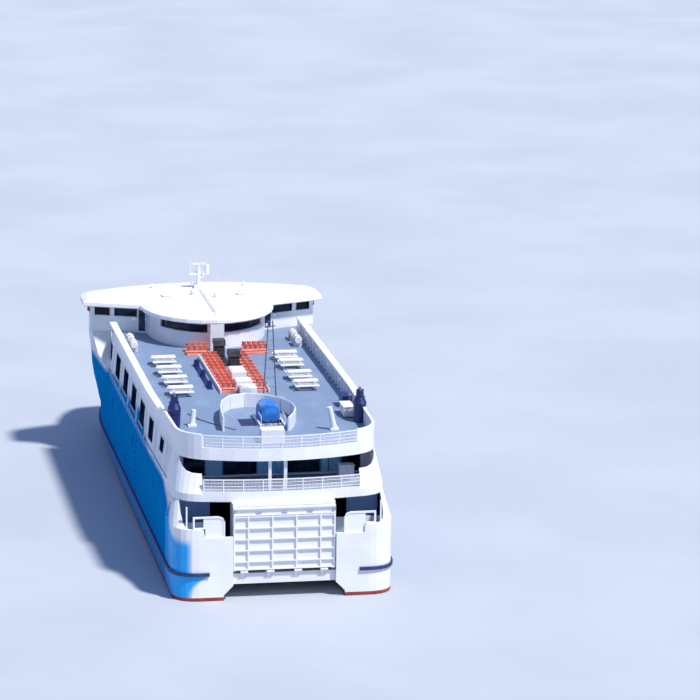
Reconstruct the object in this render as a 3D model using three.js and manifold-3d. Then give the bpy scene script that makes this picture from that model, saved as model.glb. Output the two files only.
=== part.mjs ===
// Car and passenger ferry with two hulls, as a 1:2 scale model.
// Sizes are metres on the full-size ship: x to starboard, y forward from the transom and z up
// from the waterline. addPiece turns them into millimetres of the model, with the origin amidships.
import * as THREE from "three";
import { mergeVertices } from "three/addons/utils/BufferGeometryUtils.js";
import Module from "manifold-3d";

const wasm = await Module();
wasm.setup();

// Driving dimensions
const SCALE = 0.5;
const LENGTH = 60.5;
const HALF_BEAM = 8.9;
const DRAFT = 2.4;
const GAP = 0.0008;
const CLEAR = 0.02;

// Heights above the waterline
const Z_TUNNEL = 1.2;
const Z_CAR = 2.05;
const Z_CAR_TOP = 2.17;
const Z_QUARTER = 5.15;
const Z_CORNER = 5.85;
const Z_PASS_UNDER = 7.7;
const Z_PASS = 8.3;
const Z_PASS_COAMING = 8.5;
const Z_BALCONY = 9.75;
const Z_SUN_UNDER = 10.8;
const Z_SUN = 11.5;
const Z_SUN_COAMING = 11.8;
const Z_BULWARK = 12.8;
const Z_ROOF = 13.85;

// Doors: the half width of each plate, which overlaps its doorway's frame, and the well it is set into
const DOOR_HALF = 4.08;
const BOW_DOOR_HALF = 3.3;
const FRAME = 0.25;
const WELL = { half: 4.12, depth: 0.45 };
const DOOR_TOP = 7.45;
const HINGE_Z = 2.2;
const HINGE_STANDOFF = 0.14;

// Demi-hulls
const TUNNEL_HALF = 4.85;
const HULL_AXIS = 6.875;

// Plans of the decks, from the transom: half width, aft edge and how far it bows aft, quarter radii,
// the share by which the plan narrows to the stern, and the bow's curve, fuller as bluff is smaller
const NARROW_FROM = 18;
const HULL_PLAN = {
  half: HALF_BEAM, aft: 0, camber: 0, cornerX: 2.1, cornerY: 2.5, taper: 0, bowStart: 48, tip: LENGTH, bowHalf: 3.6,
  bluff: 0.75,
};
const PASS_PLAN = {
  half: 8.7, aft: 0.95, camber: 1.1, cornerX: 2.0, cornerY: 2.6, taper: 0.03, bowStart: 48, tip: LENGTH, bowHalf: 3.6,
  bluff: 0.75,
};
const SUN_PLAN = {
  half: 8.4, aft: 1.6, camber: 1.95, cornerX: 2.4, cornerY: 3.0, taper: 0.06, bowStart: 44, tip: 54.5, bowHalf: 3.4,
  bluff: 1,
};
const CABIN_FOOT = {
  half: 8.62, aft: 6.6, camber: 0, cornerX: 0.4, cornerY: 0.4, taper: 0.03, bowStart: 44, tip: 56, bowHalf: 3.4,
  bluff: 1,
};
const CABIN_HEAD = { ...CABIN_FOOT, half: 8.4, taper: 0.06, tip: 54.5 };

const COLOURS = {
  white: [0xf4f5f6, 0.45, 0], blue: [0x1c66b8, 0.4, 0], navy: [0x14265c, 0.5, 0], red: [0xa04048, 0.6, 0],
  deck: [0x8fa2bf, 0.8, 0], floor: [0x5d6670, 0.85, 0], glass: [0x10182a, 0.1, 0.2], rail: [0xdfe2ea, 0.4, 0.3],
  coral: [0xe88a7e, 0.8, 0], dark: [0x22242b, 0.7, 0.1], bronze: [0x9a7440, 0.35, 0.9], canvas: [0x1e62b4, 0.9, 0],
};

const ship = new THREE.Group();

function addPiece(name, solid, colour) {
  const geometry = toGeometry(solid);
  geometry.translate(0, -LENGTH / 2, 0);
  geometry.scale(SCALE * 1000, SCALE * 1000, SCALE * 1000);
  const [color, roughness, metalness] = COLOURS[colour];
  const mesh = new THREE.Mesh(geometry, new THREE.MeshStandardMaterial({ color, roughness, metalness }));
  mesh.name = name;
  ship.add(mesh);
}

// Solids from three.js geometry, and back
function toSolid(source) {
  const plain = source.index ? source.clone() : source;
  for (const key of ["normal", "uv"]) plain.deleteAttribute(key);
  const geometry = mergeVertices(plain, 1e-5);
  return new wasm.Manifold(new wasm.Mesh({
    numProp: 3,
    vertProperties: Float32Array.from(geometry.attributes.position.array),
    triVerts: Uint32Array.from(geometry.index.array),
  }));
}

function toGeometry(solid) {
  const mesh = solid.getMesh();
  const geometry = new THREE.BufferGeometry();
  geometry.setAttribute("position", new THREE.BufferAttribute(mesh.vertProperties, 3));
  geometry.setIndex(new THREE.BufferAttribute(mesh.triVerts, 1));
  geometry.computeVertexNormals();
  return geometry;
}

const join = (...solids) => solids.flat().reduce((sum, solid) => sum.add(solid));
const cut = (solid, ...tools) => tools.flat().reduce((rest, tool) => rest.subtract(tool), solid);

// A solid cut to the neighbour over it, with the gap between them
const fitUnder = (solid, neighbour) => cut(solid, neighbour, neighbour.translate([0, 0, -GAP]));

const mirrorX = (solid) => solid.mirror([1, 0, 0]);

function box(x0, x1, y0, y1, z0, z1) {
  const geometry = new THREE.BoxGeometry(x1 - x0, y1 - y0, z1 - z0);
  return toSolid(geometry.translate((x0 + x1) / 2, (y0 + y1) / 2, (z0 + z1) / 2));
}

// A plan outline raised from z0 to z1, with other plans cut out of it
function slab(outline, z0, z1, holes = []) {
  const shape = new THREE.Shape(outline.map(([x, y]) => new THREE.Vector2(x, y)));
  for (const hole of holes) shape.holes.push(new THREE.Path(hole.map(([x, y]) => new THREE.Vector2(x, y))));
  const geometry = new THREE.ExtrudeGeometry(shape, { depth: z1 - z0, bevelEnabled: false });
  return toSolid(geometry.translate(0, 0, z0));
}

// A side outline of (y, z) points across the ship from x0 to x1
function sideSlab(outline, x0, x1) {
  const shape = new THREE.Shape(outline.map(([y, z]) => new THREE.Vector2(y, z)));
  const geometry = new THREE.ExtrudeGeometry(shape, { depth: x1 - x0, bevelEnabled: false });
  geometry.rotateX(Math.PI / 2).rotateZ(Math.PI / 2);
  return toSolid(geometry.translate(x0, 0, 0));
}

// A face outline of (x, z) points along the ship from y0 to y1
function faceSlab(outline, y0, y1) {
  const shape = new THREE.Shape(outline.map(([x, z]) => new THREE.Vector2(x, z)));
  const geometry = new THREE.ExtrudeGeometry(shape, { depth: y1 - y0, bevelEnabled: false });
  return toSolid(geometry.rotateX(Math.PI / 2).translate(0, y1, 0));
}

// A round bar between two points
function rod(from, to, radius, sides = 12, endRadius = radius) {
  const a = new THREE.Vector3(...from);
  const b = new THREE.Vector3(...to);
  const geometry = new THREE.CylinderGeometry(endRadius, radius, a.distanceTo(b), sides);
  const turn = new THREE.Quaternion();
  turn.setFromUnitVectors(new THREE.Vector3(0, 1, 0), b.clone().sub(a).normalize());
  geometry.applyQuaternion(turn).translate(...a.add(b).multiplyScalar(0.5).toArray());
  return toSolid(geometry);
}

// A square bar between two points
const bar = (from, to, width) => rod(from, to, width * Math.SQRT1_2, 4);

// Rings of equal numbers of [x, y, z] points joined into one body, with flat ends
function loft(rings) {
  const count = rings[0].length;
  const indices = [];
  for (let ring = 0; ring < rings.length - 1; ring += 1) {
    for (let i = 0; i < count; i += 1) {
      const a = ring * count + i;
      const b = ring * count + ((i + 1) % count);
      indices.push(a, b, b + count, a, b + count, a + count);
    }
  }
  const flatten = (points) => {
    const spanX = Math.max(...points.map((p) => p[0])) - Math.min(...points.map((p) => p[0]));
    const spanY = Math.max(...points.map((p) => p[1])) - Math.min(...points.map((p) => p[1]));
    const spanZ = Math.max(...points.map((p) => p[2])) - Math.min(...points.map((p) => p[2]));
    if (spanZ <= Math.min(spanX, spanY)) return points.map((p) => new THREE.Vector2(p[0], p[1]));
    return points.map((p) => new THREE.Vector2(p[0], p[2]));
  };
  const last = (rings.length - 1) * count;
  const cap = (ring, offset, reverse) => {
    for (const [a, b, c] of THREE.ShapeUtils.triangulateShape(flatten(ring), [])) {
      indices.push(...(reverse ? [offset + c, offset + b, offset + a] : [offset + a, offset + b, offset + c]));
    }
  };
  cap(rings[0], 0, true);
  cap(rings[rings.length - 1], last, false);
  const geometry = new THREE.BufferGeometry();
  geometry.setAttribute("position", new THREE.Float32BufferAttribute(rings.flat(2), 3));
  geometry.setIndex(indices);
  const solid = toSolid(geometry);
  if (solid.volume() > 0) return solid;
  for (let i = 0; i < indices.length; i += 3) [indices[i], indices[i + 2]] = [indices[i + 2], indices[i]];
  geometry.setIndex(indices);
  return toSolid(geometry);
}

// Deck plan as a closed outline: bowed aft edge, rounded quarters, straight sides and rounded bow
function deckPlan(plan, inset = 0) {
  const half = plan.half - inset;
  const aft = plan.aft + inset;
  const flat = plan.half - plan.cornerX;
  const edge = (x) => aft + plan.camber * (x / half) ** 2;
  const side = [];
  for (let i = 0; i <= 3; i += 1) side.push([(flat * i) / 3, edge((flat * i) / 3)]);
  const slope = (2 * plan.camber * flat) / half ** 2;
  const turnY = edge(flat) + slope * (half - flat);
  const endY = edge(flat) + Math.max(plan.cornerY - inset, slope * (half - flat) + 0.1);
  for (let i = 1; i <= 7; i += 1) {
    const t = i / 7;
    const bend = (a, b, c) => a * (1 - t) ** 2 + 2 * b * t * (1 - t) + c * t ** 2;
    side.push([bend(flat, half, half), bend(edge(flat), turnY, endY)]);
  }
  side.push([half, NARROW_FROM]);
  const bowHalf = plan.bowHalf - inset;
  const bowDepth = plan.tip - inset - plan.bowStart;
  for (let i = 0; i <= 7; i += 1) {
    const turn = (i / 7) * (Math.PI / 2);
    const fullness = Math.max(0, Math.cos(turn)) ** plan.bluff;
    side.push([bowHalf + (half - bowHalf) * fullness, plan.bowStart + bowDepth * Math.sin(turn)]);
  }
  const narrow = (y) => 1 - plan.taper * Math.max(0, 1 - y / NARROW_FROM);
  const starboard = side.map(([x, y]) => [x * narrow(y), y]);
  const port = starboard.slice(1).reverse().map(([x, y]) => [-x, y]);
  return [...starboard, ...port];
}

// A wall of even thickness that follows a deck plan all the way round
function ringWall(plan, inset, thickness, z0, z1) {
  return slab(deckPlan(plan, inset), z0, z1, [deckPlan(plan, inset + thickness).reverse()]);
}

// A wall that leans from one deck plan to the next; levels are [plan, z] from the foot up
const leaningSkin = (levels, inset) => loft(levels.map(([plan, z]) => deckPlan(plan, inset).map(([x, y]) => [x, y, z])));

function leaningWall(levels, inset, thickness) {
  const [foot, head] = [levels[0], levels[levels.length - 1]];
  const past = [[foot[0], foot[1] - 1], ...levels, [head[0], head[1] + 1]];
  return cut(leaningSkin(levels, inset), leaningSkin(past, inset + thickness));
}

// Hulls
// Columns: y, keel z, inner x at the deck, outer x at the deck, inner x at the water, outer x at the water
const HULL_STATIONS = [
  [0, -0.45, TUNNEL_HALF, HALF_BEAM, TUNNEL_HALF, 8.8],
  [5, -1.0, TUNNEL_HALF, HALF_BEAM, TUNNEL_HALF, 8.8],
  [12, -2.0, TUNNEL_HALF, HALF_BEAM, TUNNEL_HALF, 8.8],
  [22, -DRAFT, TUNNEL_HALF, HALF_BEAM, TUNNEL_HALF, 8.8],
  [38, -DRAFT, TUNNEL_HALF, HALF_BEAM, 4.95, 8.7],
  [46, -DRAFT, 4.95, 8.85, 5.25, 8.25],
  [52, -DRAFT, 5.2, 8.1, 5.75, 7.25],
  [56, -DRAFT * 0.92, 5.5, 7.2, 6.08, 6.55],
];
const STEM = { x: 6.28, half: 0.05, yDeck: 59.3, yWater: 57.9, yKeel: 57.0, zKeel: -1.9 };
const Z_WATER = 0;

function hullRing([y, keel, deckIn, deckOut, waterIn, waterOut]) {
  const middle = (waterIn + waterOut) / 2;
  const halfWater = (waterOut - waterIn) / 2;
  const top = Z_TUNNEL - GAP;
  const bilge = halfWater * 0.86;
  const flat = halfWater * 0.3;
  return [
    [deckIn, y, top], [waterIn, y, Z_WATER], [middle - bilge, y, keel * 0.62], [middle - flat, y, keel],
    [middle + flat, y, keel], [middle + bilge, y, keel * 0.62], [waterOut, y, Z_WATER], [deckOut, y, top],
  ];
}

function stemRing() {
  const { x, half, yDeck, yWater, yKeel, zKeel } = STEM;
  const top = Z_TUNNEL - GAP;
  const middleY = (yWater + yKeel) / 2;
  return [
    [x - half, yDeck, top], [x - half, yWater, Z_WATER], [x - half, middleY, zKeel / 2], [x - half, yKeel, zKeel],
    [x + half, yKeel, zKeel], [x + half, middleY, zKeel / 2], [x + half, yWater, Z_WATER], [x + half, yDeck, top],
  ];
}

const RUDDER = { y: 1.15, ahead: 0.35, chord: 1.15, thick: 0.09, top: -0.95, bottom: -2.35, boss: -0.78 };
const hullStarboard = loft([...HULL_STATIONS.map(hullRing), stemRing()])
  .intersect(slab(deckPlan(HULL_PLAN), -DRAFT - 1, Z_TUNNEL))
  .add(rod([HULL_AXIS, RUDDER.y, RUDDER.boss], [HULL_AXIS, RUDDER.y, 0.3], 0.17, 12));
addPiece("hull_starboard", hullStarboard, "white");
addPiece("hull_port", mirrorX(hullStarboard), "white");

// Cross deck: the full-width box girder over the hulls, haunched down at the tunnel's corners
const HAUNCH = 0.75;
const LUG_RADIUS = 0.13;
const LUG_WIDTH = 0.3;
const STERN_LUGS = [-3.2, -1.1, 1.1, 3.2];
const BOW_LUGS = [-2.5, -0.9, 0.9, 2.5];

function haunch() {
  const x = TUNNEL_HALF - GAP;
  return faceSlab([[x, Z_TUNNEL + 0.1], [x - HAUNCH, Z_TUNNEL + 0.1], [x - HAUNCH, Z_TUNNEL], [x, Z_TUNNEL - HAUNCH]],
    0, 46);
}

// Hinge lugs on a sill: half of each hinge is on the ship and half on the door, side by side
function sillLugs(sillY, outward, places) {
  const axisY = sillY + outward * HINGE_STANDOFF;
  return places.map((x) => join(
    rod([x - LUG_WIDTH, axisY, HINGE_Z], [x, axisY, HINGE_Z], LUG_RADIUS, 16),
    sideSlab([
      [axisY - outward * 0.02, HINGE_Z - LUG_RADIUS + 0.01], [axisY + outward * 0.09, HINGE_Z - 0.05],
      [sillY - outward * 0.02, Z_CAR - 0.5], [sillY - outward * 0.02, Z_CAR - 0.05],
    ], x - LUG_WIDTH + 0.02, x - 0.02),
  ));
}

const crossDeck = join(
  cut(slab(deckPlan(HULL_PLAN), Z_TUNNEL, Z_CAR), box(-WELL.half, WELL.half, -1, WELL.depth, 0, 5)),
  haunch(), mirrorX(haunch()), sillLugs(WELL.depth, -1, STERN_LUGS), sillLugs(LENGTH, 1, BOW_LUGS),
);
addPiece("cross_deck", crossDeck, "white");

// Vehicle deck plating, cut round the posts of the two doorways
const SHELL = 0.3;
const STERN_PORTAL = { half: DOOR_HALF - FRAME, outer: DOOR_HALF, y0: WELL.depth + 0.02, y1: 2 };
const BOW_PORTAL = { half: BOW_DOOR_HALF - FRAME, outer: BOW_DOOR_HALF + 0.3, y0: LENGTH - 1.2, y1: LENGTH - 0.02 };

function postHoles({ half, outer, y0, y1 }) {
  return [-1, 1].map((side) => {
    const [x0, x1] = [side * half, side * outer].sort((a, b) => a - b);
    return box(x0 - GAP, x1 + GAP, y0 - GAP, y1 + GAP, 0, 5);
  });
}
addPiece("vehicle_deck", cut(
  join(
    slab(deckPlan(HULL_PLAN, SHELL + GAP), Z_CAR + GAP, Z_CAR_TOP),
    box(-BOW_PORTAL.half, BOW_PORTAL.half, LENGTH - 2, LENGTH, Z_CAR + GAP, Z_CAR_TOP),
  ),
  box(-WELL.half, WELL.half, -1, WELL.depth, 0, 5), postHoles(STERN_PORTAL), postHoles(BOW_PORTAL),
), "floor");

// Topside walls of the vehicle space: upright to the quarter's bulwark, then leaning in to the deck above
const QUARTER_END = 3.0;
const SLOT = { y0: 3.5, y1: 4.15, z0: 5.9, z1: 7.2 };
const topside = leaningWall(
  [[HULL_PLAN, Z_CAR + GAP], [HULL_PLAN, Z_CORNER], [PASS_PLAN, Z_PASS_UNDER - GAP]], 0, SHELL,
);

// Openings of the quarter over its bulwark, and of the balcony over its corner; columns are x and z
const QUARTER_OPENING = [
  [4, Z_QUARTER], [6.35, Z_QUARTER], [6.45, Z_CORNER - 0.1], [6.6, Z_CORNER], [7.65, Z_CORNER], [7.88, 6.0],
  [8.02, 6.35], [8.08, 6.9], [8.1, 9], [4, 9],
];
const BALCONY_OPENING = [
  [6, Z_BALCONY], [7.0, Z_BALCONY], [7.4, 9.85], [7.65, 10.1], [7.8, 10.5], [7.85, 12], [6, 12],
];

const quarterStarboard = cut(
  topside.intersect(box(WELL.half, 12, -1, QUARTER_END, 0, 20)), faceSlab(QUARTER_OPENING, -1, 4),
);
addPiece("quarter_starboard", quarterStarboard, "white");
addPiece("quarter_port", mirrorX(quarterStarboard), "white");

const sideStarboard = cut(
  topside.intersect(join(
    box(5.5, 12, QUARTER_END + GAP, LENGTH + 1, 0, 20), box(BOW_PORTAL.outer + GAP, 12, 50, LENGTH + 1, 0, 20),
  )),
  box(8, 12, SLOT.y0, SLOT.y1, SLOT.z0, SLOT.z1),
);
addPiece("side_starboard", sideStarboard, "blue");
addPiece("side_port", mirrorX(sideStarboard), "blue");

// Frames of the two doorways, standing on the cross deck and carrying the deck above
function portal({ half, outer, y0, y1 }) {
  return cut(
    box(-outer, outer, y0, y1, Z_CAR + GAP, Z_PASS_UNDER - GAP),
    box(-half, half, y0 - 1, y1 + 1, 0, DOOR_TOP + CLEAR),
  );
}
addPiece("stern_portal", portal(STERN_PORTAL), "white");
addPiece("bow_portal", portal(BOW_PORTAL), "white");

// Ramp doors: a plate, a grid of stiffeners on its outer face and knuckles beside the sill's lugs
const PLATE = 0.12;
const RIB = 0.16;

function rampDoor(half, sillY, outward, uprights, rows, places) {
  const axisY = sillY + outward * HINGE_STANDOFF;
  const bottom = HINGE_Z + LUG_RADIUS + CLEAR;
  const at = (near, far) => [Math.min(near, far), Math.max(near, far)];
  const plateSpan = at(sillY, sillY + outward * PLATE);
  const ribSpan = at(sillY + outward * (PLATE - 0.01), sillY + outward * (PLATE + RIB));
  const edge = half - 0.01;
  const [low, high] = [bottom + 0.01, DOOR_TOP - 0.01];
  const parts = [box(-half, half, ...plateSpan, bottom, DOOR_TOP)];
  for (const x of uprights) parts.push(box(x - 0.06, x + 0.06, ...ribSpan, low + 0.05, DOOR_TOP - 0.62));
  for (const z of rows) parts.push(box(-edge + 0.05, edge - 0.05, ...ribSpan, z - 0.05, z + 0.05));
  parts.push(cut(
    box(-edge, edge, ...ribSpan, low, high), box(-edge + 0.12, edge - 0.12, sillY - 1, sillY + 1, low + 0.12, high - 0.12),
  ));
  for (const x of places) {
    parts.push(rod([x + GAP, axisY, HINGE_Z], [x + LUG_WIDTH, axisY, HINGE_Z], LUG_RADIUS, 16));
    parts.push(box(x + 0.02, x + LUG_WIDTH - 0.02, axisY - 0.06, axisY + 0.06, HINGE_Z + 0.05, bottom + 0.05));
  }
  return join(parts);
}
const STERN_UPRIGHTS = [-2.89, -0.96, 0.96, 2.89];
const STERN_ROWS = [3.05, 3.96, 4.87, 5.78, 6.69, 6.83];
const BOW_UPRIGHTS = [-1.7, 0, 1.7];
const BOW_ROWS = [3.2, 4.1, 5.0, 5.9];
addPiece("stern_door", rampDoor(DOOR_HALF, WELL.depth, -1, STERN_UPRIGHTS, STERN_ROWS, STERN_LUGS), "white");
addPiece("bow_door", rampDoor(BOW_DOOR_HALF, LENGTH, 1, BOW_UPRIGHTS, BOW_ROWS, BOW_LUGS), "white");

// Fender strake, from the transom round the quarter and forward along the side
const FENDER = { z: 2.2, height: 0.26, proud: 0.16, start: 6.0, end: 57 };
const fenderRing = ringWall({ ...HULL_PLAN }, -FENDER.proud, FENDER.proud - GAP,
  FENDER.z - FENDER.height / 2, FENDER.z + FENDER.height / 2);
const fenderStarboard = fenderRing.intersect(box(FENDER.start, 12, -2, FENDER.end, 0, 5));
addPiece("fender_starboard", fenderStarboard, "navy");
addPiece("fender_port", mirrorX(fenderStarboard), "navy");

// Hoop screens on the mooring platforms, plated but for a hole at the outboard top
const GUARD = { x0: 4.75, x1: 7.3, y: 0.14, top: 6.85, tube: 0.14, corner: 0.5, hole: 0.7 };
function mooringGuard() {
  const { x0, x1, y, top, tube, corner, hole } = GUARD;
  const seat = Z_QUARTER + GAP;
  const step = Z_CORNER + GAP;
  const plate = [
    [x0, seat], [6.3, seat], [6.3, step], [x1, step], [x1, top], [x0 + corner, top], [x0 + corner * 0.3, top - corner * 0.3],
    [x0, top - corner],
  ];
  const recess = plate.map(([x, z]) => [
    Math.min(Math.max(x, x0 + tube), x1 - tube), z > step + 0.1 ? z - tube : z - 1,
  ]);
  return cut(
    faceSlab(plate, y, y + tube),
    faceSlab(recess, y - 1, y + 0.05),
    faceSlab(recess, y + 0.1, y + 1),
    box(x1 - tube - hole, x1 - tube, y - 1, y + 1, step + 0.12, top - tube),
  );
}
addPiece("mooring_guard_starboard", mooringGuard(), "white");
addPiece("mooring_guard_port", mirrorX(mooringGuard()), "white");

// Passenger deck
const BALCONY_RAIL_HALF = 6.3;
const COAMING = 0.2;
const aftCoaming = (plan, half, z0, z1) => ringWall(plan, 0, COAMING, z0, z1)
  .intersect(box(-half + GAP, half - GAP, 0, 6, 0, 20));
addPiece("passenger_deck", join(
  slab(deckPlan(PASS_PLAN), Z_PASS_UNDER, Z_PASS),
  aftCoaming(PASS_PLAN, BALCONY_RAIL_HALF, Z_PASS - 0.05, Z_PASS_COAMING),
), "white");

const balconyStarboard = cut(
  leaningWall([[PASS_PLAN, Z_PASS + GAP], [SUN_PLAN, Z_SUN_UNDER - GAP]], 0, 0.2)
    .intersect(box(BALCONY_RAIL_HALF, 12, 0, CABIN_FOOT.aft - GAP, 0, 20)),
  faceSlab(BALCONY_OPENING, 0, 5),
);
addPiece("balcony_bulwark_starboard", balconyStarboard, "white");
addPiece("balcony_bulwark_port", mirrorX(balconyStarboard), "white");

// Railing along the aft edge of a deck, between its two bulwarks
// Columns: share of the rail's height at the top of the bar, and the bar's width
const RAIL_BARS = [[1, 0.09], [0.73, 0.05], [0.46, 0.05], [0.2, 0.05]];
const RAIL_POST = 0.08;
function aftRail(plan, half, z0, height) {
  const edge = (x) => plan.aft + plan.camber * (x / (plan.half * (1 - plan.taper))) ** 2 + COAMING / 2;
  const xs = Array.from({ length: 9 }, (_, i) => (half * (i - 4)) / 4);
  const side = (offset) => xs.map((x) => [x, edge(x) + offset]);
  const bars = RAIL_BARS.map(([share, width]) => slab(
    [...side(-width / 2), ...side(width / 2).reverse()], z0 + height * share - width, z0 + height * share,
  ));
  const posts = xs.map((x) => {
    const middle = Math.max(Math.min(x, half - RAIL_POST / 2), -half + RAIL_POST / 2);
    const [y0, y1] = [edge(middle) - RAIL_POST / 2, edge(middle) + RAIL_POST / 2];
    return box(middle - RAIL_POST / 2, middle + RAIL_POST / 2, y0, y1, z0 + GAP, z0 + height - 0.03);
  });
  return join(bars, posts);
}
addPiece("balcony_rail", aftRail(PASS_PLAN, BALCONY_RAIL_HALF - GAP, Z_PASS_COAMING, 1.0), "rail");

// Cabin: walls with the windows cut, and the glazing behind them
const CABIN_WALL = 0.2;
const CABIN_LEVELS = [[CABIN_FOOT, Z_PASS + GAP], [CABIN_HEAD, Z_SUN_UNDER - GAP]];
// Columns: y of the window's middle, its length, bottom and top
const CABIN_WINDOWS = [
  [11.3, 1.4, 9.5, 10.4], [17.0, 2.0, 9.0, 10.6], [22.6, 2.6, 8.9, 10.65], [28.3, 2.6, 8.9, 10.65],
  [34.0, 2.6, 8.9, 10.65], [39.6, 2.6, 8.9, 10.65], [45.3, 1.8, 9.3, 10.5],
];
const FRONT_WINDOWS = [-5.4, -3.6, -1.8, 0, 1.8, 3.6, 5.4];
const AFT_DOOR_POSTS = [-0.15, 1.15];

function cabinWalls() {
  const holes = CABIN_WINDOWS.map(([y, length, z0, z1]) => box(-12, 12, y - length / 2, y + length / 2, z0, z1));
  const front = FRONT_WINDOWS.map((x) => box(x - 0.75, x + 0.75, 50, 58, 9.3, 10.3));
  const edges = [-7.3, ...AFT_DOOR_POSTS, 7.3];
  const aft = edges.slice(0, -1).map((x, i) => box(x + 0.1, edges[i + 1] - 0.1, 6, 7.2, Z_PASS + 0.12, 10.65));
  return cut(leaningWall(CABIN_LEVELS, 0, CABIN_WALL), holes, front, aft);
}
addPiece("cabin_walls", cabinWalls(), "white");
addPiece("cabin_glazing", leaningWall(CABIN_LEVELS, CABIN_WALL + GAP, 0.06), "glass");

// Foredeck fittings
const bowBulwark = ringWall(PASS_PLAN, 0, 0.14, Z_PASS + GAP, Z_PASS + 1.05).intersect(box(-12, 12, 50, 70, 0, 20));
addPiece("bow_bulwark", bowBulwark, "white");

const WINDLASS = { y: 57.6, drum: 0.35, half: 1.1 };
addPiece("windlass", join(
  box(-WINDLASS.half, WINDLASS.half, WINDLASS.y - 0.5, WINDLASS.y + 0.5, Z_PASS + GAP, Z_PASS + 0.25),
  rod([-WINDLASS.half - 0.25, WINDLASS.y, Z_PASS + 0.6], [WINDLASS.half + 0.25, WINDLASS.y, Z_PASS + 0.6], 0.3, 14),
  [-0.85, 0, 0.85].map((x) => box(x - 0.12, x + 0.12, WINDLASS.y - 0.4, WINDLASS.y + 0.4, Z_PASS + 0.2, Z_PASS + 0.85)),
), "dark");

// Sun deck
const SUN_RAIL_HALF = 6.2;
const BULWARK_END = 44;
addPiece("sun_deck", join(
  slab(deckPlan(SUN_PLAN), Z_SUN_UNDER, Z_SUN), aftCoaming(SUN_PLAN, SUN_RAIL_HALF, Z_SUN - 0.05, Z_SUN_COAMING),
), "white");
const sunBulwark = join(
  ringWall(SUN_PLAN, 0, 0.16, Z_SUN + GAP, Z_BULWARK),
  ringWall(SUN_PLAN, 0, 0.22, Z_BULWARK - 0.12, Z_BULWARK + 0.04),
  ringWall(SUN_PLAN, -0.34, 0.6, Z_BULWARK - 0.12, Z_BULWARK + 0.04).intersect(box(0, 12, 12.4, BULWARK_END, 0, 20)),
).intersect(box(SUN_RAIL_HALF, 12, 0, BULWARK_END, 0, 20));
addPiece("sun_bulwark_starboard", sunBulwark, "white");
addPiece("sun_bulwark_port", mirrorX(sunBulwark), "white");
addPiece("sun_rail", aftRail(SUN_PLAN, SUN_RAIL_HALF - GAP, Z_SUN_COAMING, 1.0), "rail");

// Bridge: a full-width wheelhouse with wings, and a lounge that rounds aft over the sun deck
const BRIDGE = { front: 52.8, drop: 2.8, tip: 10.85, tipAft: 46.1, root: 6.0, rootAft: 44.2, aft: 37.3 };

function bridgePlan(inset) {
  const tip = BRIDGE.tip - inset;
  const root = BRIDGE.root - inset;
  const frontAt = (x) => BRIDGE.front - inset - BRIDGE.drop * (x / tip) ** 2;
  const starboard = [];
  for (let i = 0; i <= 5; i += 1) starboard.push([((tip - 0.6) * i) / 5, frontAt(((tip - 0.6) * i) / 5)]);
  const wingAft = BRIDGE.tipAft + inset;
  starboard.push([tip - 0.17, frontAt(tip) - 0.35], [tip, Math.max(frontAt(tip) - 1.3, wingAft + 0.15)]);
  starboard.push([tip, wingAft], [root, BRIDGE.rootAft + inset]);
  const depth = BRIDGE.rootAft - BRIDGE.aft;
  for (let i = 1; i <= 7; i += 1) {
    const turn = (i / 7) * (Math.PI / 2);
    starboard.push([root * Math.cos(turn), BRIDGE.rootAft + inset - depth * Math.sin(turn)]);
  }
  starboard[starboard.length - 1][0] = 0;
  const port = starboard.slice(1, -1).reverse().map(([x, y]) => [-x, y]);
  return [...starboard, ...port].reverse();
}

const BRIDGE_WALL = 0.16;
const WALL_INSET = 0.7;
const FLOOR_TOP = Z_SUN + 0.15;

// Faired supports that grow out of the sides and carry the wings, cut to the walls and decks beside them
// Columns: x and z of the full section's outer face, from its foot up
const SUPPORT_FACE = [
  [8.97, 4.2], [9.15, 4.8], [9.4, 6.0], [9.65, 7.1], [9.82, 8.2], [9.9, 9.5], [10.1, 11.0], [10.1, Z_SUN + 0.05],
];
const SUPPORT_ROOT = 8.3;
// Columns: y of the section, its share of the full reach, and how high it comes
const SUPPORT_SECTIONS = [[44.6, 0.2, 7.8], [46.0, 0.7, 9.4], [46.85, 0.96, 20], [48.5, 1, 20], [49.8, 0.72, 20]];
function wingSupports() {
  const section = ([y, reach, top]) => [
    [SUPPORT_ROOT, y, SUPPORT_FACE[0][1]],
    ...SUPPORT_FACE.map(([x, z], i) => [SUPPORT_ROOT + (x - SUPPORT_ROOT) * reach, y, Math.min(z, top + i * 0.02)]),
    [SUPPORT_ROOT, y, Math.min(Z_SUN + 0.05, top + 0.2)],
  ];
  const web = loft(SUPPORT_SECTIONS.map(section));
  const sides = leaningSkin([[HULL_PLAN, 3], [HULL_PLAN, Z_CORNER], [PASS_PLAN, Z_PASS_UNDER - GAP]], -GAP);
  return cut(
    join(web, mirrorX(web)), sides, mirrorX(sides),
    slab(deckPlan(PASS_PLAN, -GAP), Z_PASS_UNDER - 2 * GAP, Z_PASS + 2 * GAP),
    leaningSkin(CABIN_LEVELS, -GAP), slab(deckPlan(SUN_PLAN, -GAP), Z_SUN_UNDER - 2 * GAP, Z_SUN + GAP),
  );
}
addPiece("bridge_floor", join(slab(bridgePlan(WALL_INSET), Z_SUN + GAP, FLOOR_TOP), wingSupports()), "white");

const WINDOW_Z = [12.95, 13.7];
const FRONT_PANES = [-8.1, -5.4, -2.7, 0, 2.7, 5.4, 8.1];
const WING_PANES = [[6.1, 8.1], [8.45, 9.8]];
// Inner and outer x of the lounge's panes
const LOUNGE_PANES = [[0.75, 4.5]];

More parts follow.
